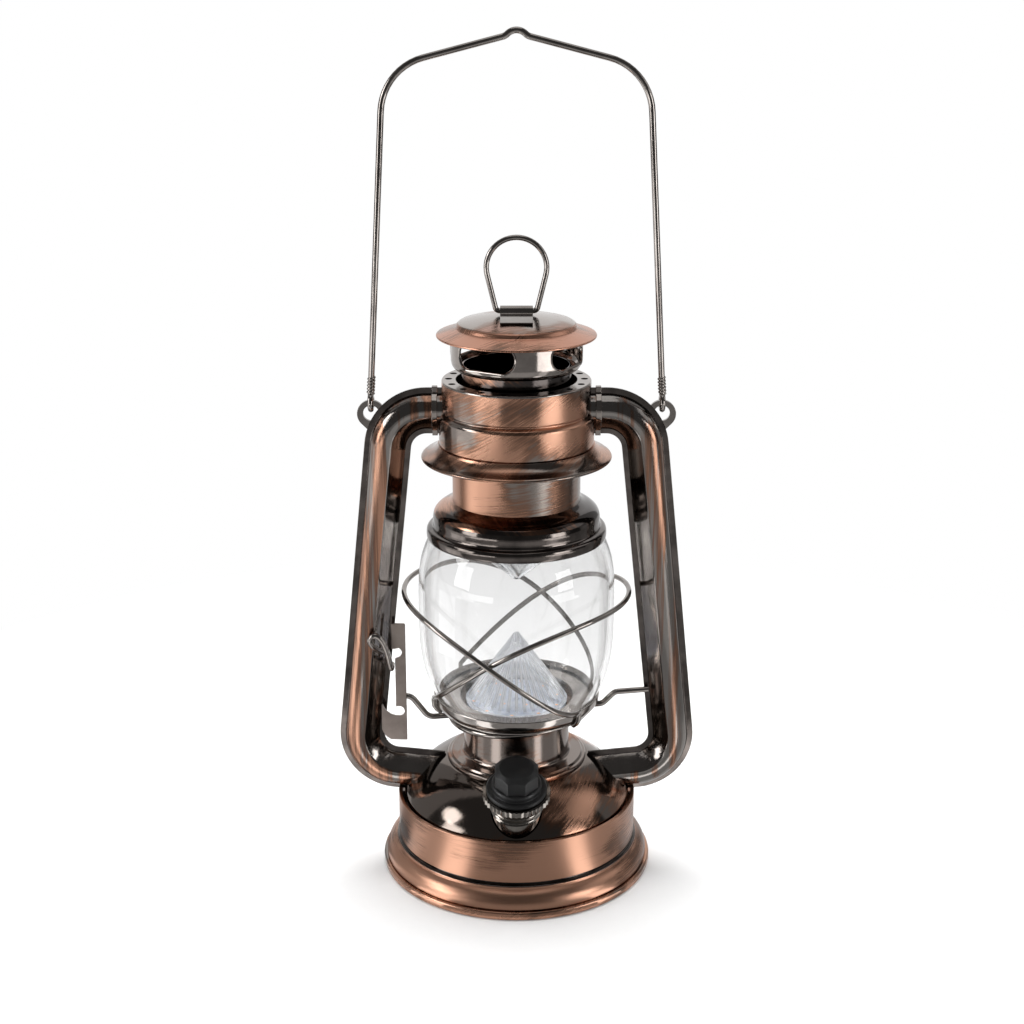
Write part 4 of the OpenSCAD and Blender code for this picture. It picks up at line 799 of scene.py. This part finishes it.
# %% [markdown]
# The lift ring and the bail are wires, walked as a bender would: straight runs and turns of a given radius.

# %% Lift ring
def walk(steps, at, heading):
    """A bent wire in the xz plane: [length] runs straight, [radius, turn] bends, upward if turn is positive."""
    x, z, out = at[0], at[1], [at]
    for step in steps:
        if len(step) == 1:
            x, z = x + step[0] * cos(heading), z + step[0] * sin(heading)
            out.append((x, z))
            continue
        radius, turn = step[0], radians(step[1])
        n = max(2, ceil(abs(step[1]) / 7))
        side = copysign(1, turn)
        cx, cz = x - side * radius * sin(heading), z + side * radius * cos(heading)
        for k in range(1, n + 1):
            t = heading + turn * k / n
            out.append((cx + side * radius * sin(t), cz - side * radius * cos(t)))
        heading, (x, z) = heading + turn, out[-1]
    return out


WIRE_LOOK = "dark_wire", nickel_wire, 60
FLARE, RING_HEIGHT, TOP_R, BEND_R = 13.8, 29, 11.9, 1.8
flare = radians(FLARE)
ring_leg = (RING_HEIGHT - TOP_R - TOP_R * sin(flare) - BEND_R * (1 - sin(flare))) / cos(flare)
ring_foot = TOP_R * cos(flare) - ring_leg * sin(flare) - BEND_R * cos(flare)
half_ring = [[ring_foot], [BEND_R, 90 - FLARE], [ring_leg]]
ring_line = walk(half_ring + [[TOP_R, 180 + 2 * FLARE]] + half_ring[::-1], (0, RING_Z), 0)
ring = wire("lift_ring_bent", [(x, 0, z) for x, z in ring_line], 1.1, 5)
hand_over(ring, "ring", ["lift_ring"], *WIRE_LOOK)

# %% [markdown]
# The bail leans in, turns over a wide shoulder and climbs to a small peak. Its ends are bent to eyes through the
# ears and wrapped round the legs.

# %% Bail
LEANS, SLOPES, PEAKS = 3.4, 14.4, 44  # angles of the legs, the top and the peak's sides
SHOULDER_R, HOLLOW_R, PEAK_R = 22, 4, 5  # bends, from the leg to the peak
EYE_R, EYE_Z, BAIL_RISE = 2.9, 202.6, 144.5  # the rise is counted from the eye's middle
lean, slope, peak = [radians(a) for a in (LEANS, SLOPES, PEAKS)]
wide = (EAR_X - SHOULDER_R * (cos(lean) - sin(slope)) - HOLLOW_R * (sin(peak) - sin(slope))
        - PEAK_R * sin(peak))
high = (BAIL_RISE - EYE_R - SHOULDER_R * (cos(slope) - sin(lean))
        - HOLLOW_R * (cos(slope) - cos(peak)) - PEAK_R * (1 - cos(peak)))
leg = (high * cos(slope) - wide * sin(slope)) / cos(lean + slope)
top = (wide * cos(lean) - high * sin(lean)) / cos(lean + slope)
half_bail = [[leg], [SHOULDER_R, SLOPES + LEANS - 90], [top], [HOLLOW_R, PEAKS - SLOPES]]
bail_line = walk(half_bail + [[PEAK_R, -2 * PEAKS]] + half_bail[::-1], (-EAR_X, EYE_Z + EYE_R), pi / 2 - lean)
bail = [wire("bail_bent", [(x, 0, z) for x, z in bail_line], 1.3, 5)]
eye_line = arc(0, EYE_Z, EYE_R, -90, 270, 24)
WRAP_R, WRAP_TURN, WRAP_STEPS = 1.1275, 0.55, 60  # the wrap is a coil, turned by 0.55 radians a step
for side in (-1, 1):
    bail.append(wire("eye", [(side * EAR_X, y, z) for y, z in eye_line], 1.2, 5))
    coil = []
    for i in range(WRAP_STEPS + 1):
        x = side * (EAR_X - 0.516 * i / WRAP_STEPS) + WRAP_R * cos(i * WRAP_TURN)
        coil.append((x, WRAP_R * sin(i * WRAP_TURN), 206.2 + 7 * i / WRAP_STEPS))
    bail.append(wire("wrap", coil, 0.62, 3))
hand_over(join(bail), "bail", ["bail"], *WIRE_LOOK)

# %% [markdown]
# The globe rests in the gallery, a shallow dish with a hub. Slots in its edge let the lever's arms through. The
# globe's line is a power curve, nearly straight round the middle and drawn in at both ends.

# %% Gallery and globe
ARM_Y = -2.6  # the lever's arms lie a little in front of the axis
GLOBE_FOOT, GLOBE_WIDEST, GLOBE_TOP, GLOBE_R = 75.8, 116.8, 150.5, 40.8
dish = eased([(35.0, 76.6), (34.9, 74.6), (33.6, 72.7), (32.2, 71.5), (31.4, 71.2)])
gallery = turned("gallery_spun", [(24.0, 69.6), (24.8, 69.6), (24.8, 75.0), (34.0, 75.0)]
                 + [(r - 0.7, z + 0.15) for r, z in dish[4:]] + arc(31.25, 70.85, 0.5, 170, 390, 8) + dish[::-1]
                 + arc(34.6, 77.05, 0.42, 0, 170, 6) + [(34.2, 76.6), (34.2, 75.8), (24.0, 75.8)],
                 edge=0)
cut(gallery, [block((x, ARM_Y, 71.55), (7.0, 4.0, 5.1)) for x in (-33.5, 32.5)])
hand_over(gallery, "globe_carrier", ["gallery"], "gunmetal", gallery_nickel)


def belly(inset):
    out = []
    for i in range(41):
        z = GLOBE_FOOT + (GLOBE_TOP - GLOBE_FOOT) * i / 40
        end = GLOBE_FOOT if z < GLOBE_WIDEST else GLOBE_TOP
        share = (z - GLOBE_WIDEST) / (end - GLOBE_WIDEST)
        out.append((GLOBE_R - inset - 7.8 * abs(share) ** 3.4, z))
    return out


globe = turned("globe_blown", belly(0) + belly(2)[::-1], edge=0.5)
hand_over(globe, "globe_carrier", ["globe"], "glass", blown_glass, 60)

# %% [markdown]
# The guard is two hoops that stand on the gallery and cross before and behind the glass. Each is drawn along its
# own axis p, from its feet to its far end, and turned to its side.

# %% Guard
GUARD_END = 46.8  # how far a hoop reaches out
FOOT_R, FOOT_TURN = 36.15, radians(31)  # the feet stand on this circle, this far to each side
foot_p, foot_q = FOOT_R * cos(FOOT_TURN), FOOT_R * sin(FOOT_TURN)
foot_line = [(k * foot_p, k * foot_q, z) for k, z in ((0.913, 71.2), (0.965, 72.8), (0.995, 74.6), (1, 76.7))]


def guard_height(p, a=foot_p, b=-GUARD_END):
    """A parabola that rises by 0.8 mm at the feet, 27.5 at the axis and 45.5 at the far end."""
    at_feet, at_axis, at_end = p * (p - b) / (a * (a - b)), (p - a) * (p - b) / (a * b), p * (p - a) / (b * (b - a))
    return 77.5 + 0.8 * at_feet + 27.5 * at_axis + 45.5 * at_end


def guard(name, r, turn):
    shift = GUARD_END - r
    start = atan2(foot_q, foot_p + shift)
    foot = hypot(foot_p + shift, foot_q)
    line = []
    for i in range(89):
        t = start + (2 * pi - 2 * start) * i / 88
        s = r - (r - foot) * ((1 + cos(t)) / (1 + cos(start))) ** 7
        p = s * cos(t) - shift
        line.append((p, s * sin(t), guard_height(p)))
    line = foot_line + line + [(p, -q, z) for p, q, z in foot_line[::-1]]
    return put(wire(name, line, 1.1, 4), Matrix.Rotation(radians(turn), 4, "Z"))


hand_over(guard("guard_left_bent", 43.2, 166), "globe_carrier", ["guard_left"], *WIRE_LOOK)
hand_over(guard("guard_right_bent", 46.0, -14), "globe_carrier", ["guard_right"], *WIRE_LOOK)

# %% [markdown]
# The lever is one wire: a loop under the gallery, an arm to the pivot in the right tube and one to the latch plate
# on the left. It lies tilted by almost five degrees, so it is drawn level and turned with one matrix.

# %% Lever
TILT = radians(4.8)
LOOP_R, LOOP_Z, STUB = 28, 68.8, 7  # the loop, and the level start of each arm
PIVOT_X, PIVOT_UP = 51.6, 78.1 - LOOP_Z
LEVER_FRAME = Matrix.Translation((0, 0, LOOP_Z * MM)) @ Matrix.Rotation(-TILT, 4, "Y")
reach = PIVOT_X * cos(TILT) + PIVOT_UP * sin(TILT)
climb = PIVOT_UP * cos(TILT) - PIVOT_X * sin(TILT)


def arm(rise, up, end, bend):
    """From the loop out to end, climbing by up at an angle of rise degrees."""
    turn = radians(rise)
    slant = (up - 2 * bend * (1 - cos(turn))) / sin(turn)
    rest = end - LOOP_R - STUB - 2 * bend * sin(turn) - slant * cos(turn)
    return walk([[STUB], [bend, rise], [slant], [bend, -rise], [rest]], (LOOP_R, 0), 0)


lever = [wire("lift_lever_bent", [(x, y, 0) for x, y in arc(0, 0, LOOP_R, 0, 360, 72)], 1.3, 5),
         wire("right_arm", [(x, ARM_Y, z) for x, z in arm(42, climb, reach + 4.1, 4)], 1.25, 5),
         wire("left_arm", [(-x, ARM_Y, z) for x, z in arm(58, 10.5, 48.9, 4.5)], 1.25, 5)]
hand_over(put(join(lever), LEVER_FRAME), "lever", ["lift_lever"], *WIRE_LOOK)

# %% [markdown]
# The latch plate is stamped, with two round notches and a thumb piece below. Its hook is a wire that comes out of
# the left tube, makes a loop and ends at the plate.

# %% Latch plate and hook
plate_line = ([(-46.4, 56.1), (-46.4, 108.3), (-46.9, 108.9), (-52.2, 108.9), (-52.2, 97.7), (-50.9, 97.7)]
              + arc(-50.4, 96.0, 2.4, 60, -60, 8) + [(-50.9, 93.2), (-50.9, 71.6)]
              + arc(-49.6, 69.4, 2.3, 120, -90, 12)
              + eased([(-51.2, 67.2), (-53.6, 68.0), (-55.6, 70.0), (-56.6, 72.4)])
              + [(-57.0, 72.4), (-57.0, 61.0)] + eased([(-56.4, 59.4), (-55.2, 57.6), (-53.2, 56.3)]))
latch = plate("latch_plate_stamped", [(x, -5.15, z) for x, z in plate_line + plate_line[:1]], (0, 1.2 * MM, 0))
soften(latch, 0.25, 3)
hand_over(latch, "lever", ["latch_plate"], "gunmetal", plate_nickel)

back, tip = Vector((-56.4, -4.5, 96.0)), Vector((-52.3, -2.2, 89.6))
loop_bends = [(0, 0, 0), (-3.6, -4.1, 4), (-4.8, -4.9, 7.5), (-2.1, -5.1, 10), (0.9, -4.9, 7), (2.9, -4.5, 1)]
tip_bends = [(-0.2, -6.4, 1.4), (0, -5.4, 0), (0, 0, 0)]
hook_line = eased([back + Vector(b) for b in loop_bends] + [tip + Vector(b) for b in tip_bends], 3)
hand_over(wire("latch_hook_bent", hook_line, 1.2, 4), "frame", ["latch_hook"], *WIRE_LOOK)

# %% [markdown]
# The dimmer sits on a threaded neck. Its knob has eight flats with a turned chamfer: an eight-sided prism
# intersected with a turned cone gives the scalloped edge. All are modelled upright and leaned forward together.

# %% Filler neck and knob
THREAD_PITCH = 2.2
FLAT_R = 8.7  # from the knob's axis to a flat
crest = [(9.6, -2.7), (10.4, -3.2), (10.6, -3.6), (10.4, -4.0), (9.6, -4.5)]
thread = [(r, z - THREAD_PITCH * i) for i in range(3) for r, z in crest]
filler = turned("filler_neck_threaded", [(3.55, -1.2), (10.2, -1.2)] + thread
                + [(10.2, -9.4), (10.2, -17), (8.8, -17), (8.8, -2.4), (3.55, -2.4)], steps=96, edge=0)
hand_over(put(filler, KNOB_FRAME), "frame", ["filler_neck"], "steel", bright_nickel)

head = rod(8, FLAT_R / cos(pi / 8), 9.4, (0, 0, 8.7), (0, 0, pi / 8))
head.name = head.data.name = "knob_moulded"
bpy.ops.object.transform_apply()
chamfer = turned("chamfer", [(0, 3), (10.4, 3), (10.4, 11.0), (7.0, 13.4), (0, 13.4)], steps=96, edge=0)
cut(head, [chamfer], "INTERSECT")
soften(head, 0.3, 3, 20)
knob_disc = turned("knob_skirt", [(6.5, 1.5), (12.4, 1.5), (12.4, 2.7), (11.9, 3.2), (10.3, 3.3), (10.1, 3.6),
                                  (10.1, 5.1), (9.7, 5.7), (8.3, 6.1), (3.1, 6.1), (3.1, 2.0), (6.5, 2.0)], steps=64)
hand_over(put(join([head, knob_disc]), KNOB_FRAME), "knob", ["knob"], "black_plastic", abs_black, 30)

# %% [markdown]
# Inside the globe stands a ribbed acrylic cone over the LED board. The ribs are made by drawing in every second
# point of the cone's lower ring before it is pulled up to the tip; a smooth cone inside is subtracted.

# %% Light cone
TIP = 0.06  # size of the cone's tip, as a share of its foot


def cone_shell(name, points, radius, foot, height, rib):
    bpy.ops.mesh.primitive_circle_add(vertices=points, radius=radius * MM, location=(0, 0, foot * MM))
    shell = bpy.context.object
    shell.name = shell.data.name = name
    bpy.ops.object.transform_apply()
    for i, point in enumerate(shell.data.vertices):
        point.select = i % 2 == 1
    mode("EDIT")
    bpy.ops.mesh.select_mode(type="VERT")
    bpy.ops.transform.resize(value=(rib, rib, 1))
    bpy.ops.mesh.select_all(action="SELECT")
    bpy.ops.mesh.edge_face_add()
    push((0, 0, height * MM))
    bpy.ops.transform.resize(value=(TIP, TIP, 1))
    clean()
    return shell


cone = cone_shell("light_cone_ribbed", 120, 22.4, 74.2, 29, 0.965)
cut(cone, [cone_shell("hollow", 96, 20.2, 73.0, 25, 1.0)])
hand_over(cone, "frame", ["light_cone"], "clear", ribbed_acrylic, 8)

# %% [markdown]
# The LED packages are small white boxes with an amber window. One is bevelled, its top face is inset and sunk for
# the window, and it is copied to two rings on the board.

# %% LED packages
CHIP_R = 16  # where the first one is modelled
chip = block((CHIP_R, 0, 73.45), (2.4, 2.4, 0.6))
chip.name = chip.data.name = "led_packages"
soften(chip, 0.15)
mode("EDIT")
bpy.ops.mesh.select_all(action="DESELECT")
mode("OBJECT")
for face in chip.data.polygons:
    face.select = face.normal.z > 0.99
mode("EDIT")
bpy.ops.mesh.select_mode(type="FACE")
bpy.ops.mesh.inset(thickness=0.45 * MM, depth=-0.1 * MM)
mode("OBJECT")
chips = []
for row, count in ((18, 10), (8, 5)):
    outwards = Matrix.Translation(((row - CHIP_R) * MM, 0, 0))
    for i in range(count):
        turn = Matrix.Rotation(radians(360 * i / count + 12), 4, "Z")
        chips.append(put(copied(chip, "led_package"), turn @ outwards))
select(chip)
bpy.ops.object.delete()
packages = join(chips)
hand_over(packages, "frame", ["led_chips"], "led", board)
zone(packages, led, lambda face: face.normal.z > 0.99 and face.center.z < 73.7 * MM)

# %% [markdown]
# A small clear cone hangs from the hood, with its tip down. It throws the light outwards.

# %% Reflector
reflector = turned("top_reflector_moulded", [(0, 126.5), (1.2, 126.9), (30.2, 150.5), (30.2, 150.8), (33.8, 150.8),
                                             (33.8, 151.4), (29.4, 151.4), (0.9, 128.4), (0, 128.2)],
                   steps=96, edge=0.1)
hand_over(reflector, "chimney", ["top_reflector"], "clear", clear_acrylic, 25)

# %% [markdown]
# The pieces that stay as CAD solids, most of them inside the tank, get their finishes in their material slots.

# %% Finishes for the CAD nodes
kept = {"battery_box": abs_black, "battery_cells": sleeve, "contact_springs": tinned, "contact_plates": tinned,
        "battery_door": abs_black, "door_pin": steel, "base_screws": steel, "led_holder": abs_black,
        "led_board": board, "lead_red": red_pvc, "lead_black": black_pvc, "knurled_ring": bright_nickel,
        "dimmer_body": steel, "dimmer_nut": brass, "dimmer_shaft": steel}
for node, finish in kept.items():
    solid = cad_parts[node]
    solid.data.materials.clear()
    solid.data.materials.append(finish)
print("CAD nodes with a finish:", len(kept))
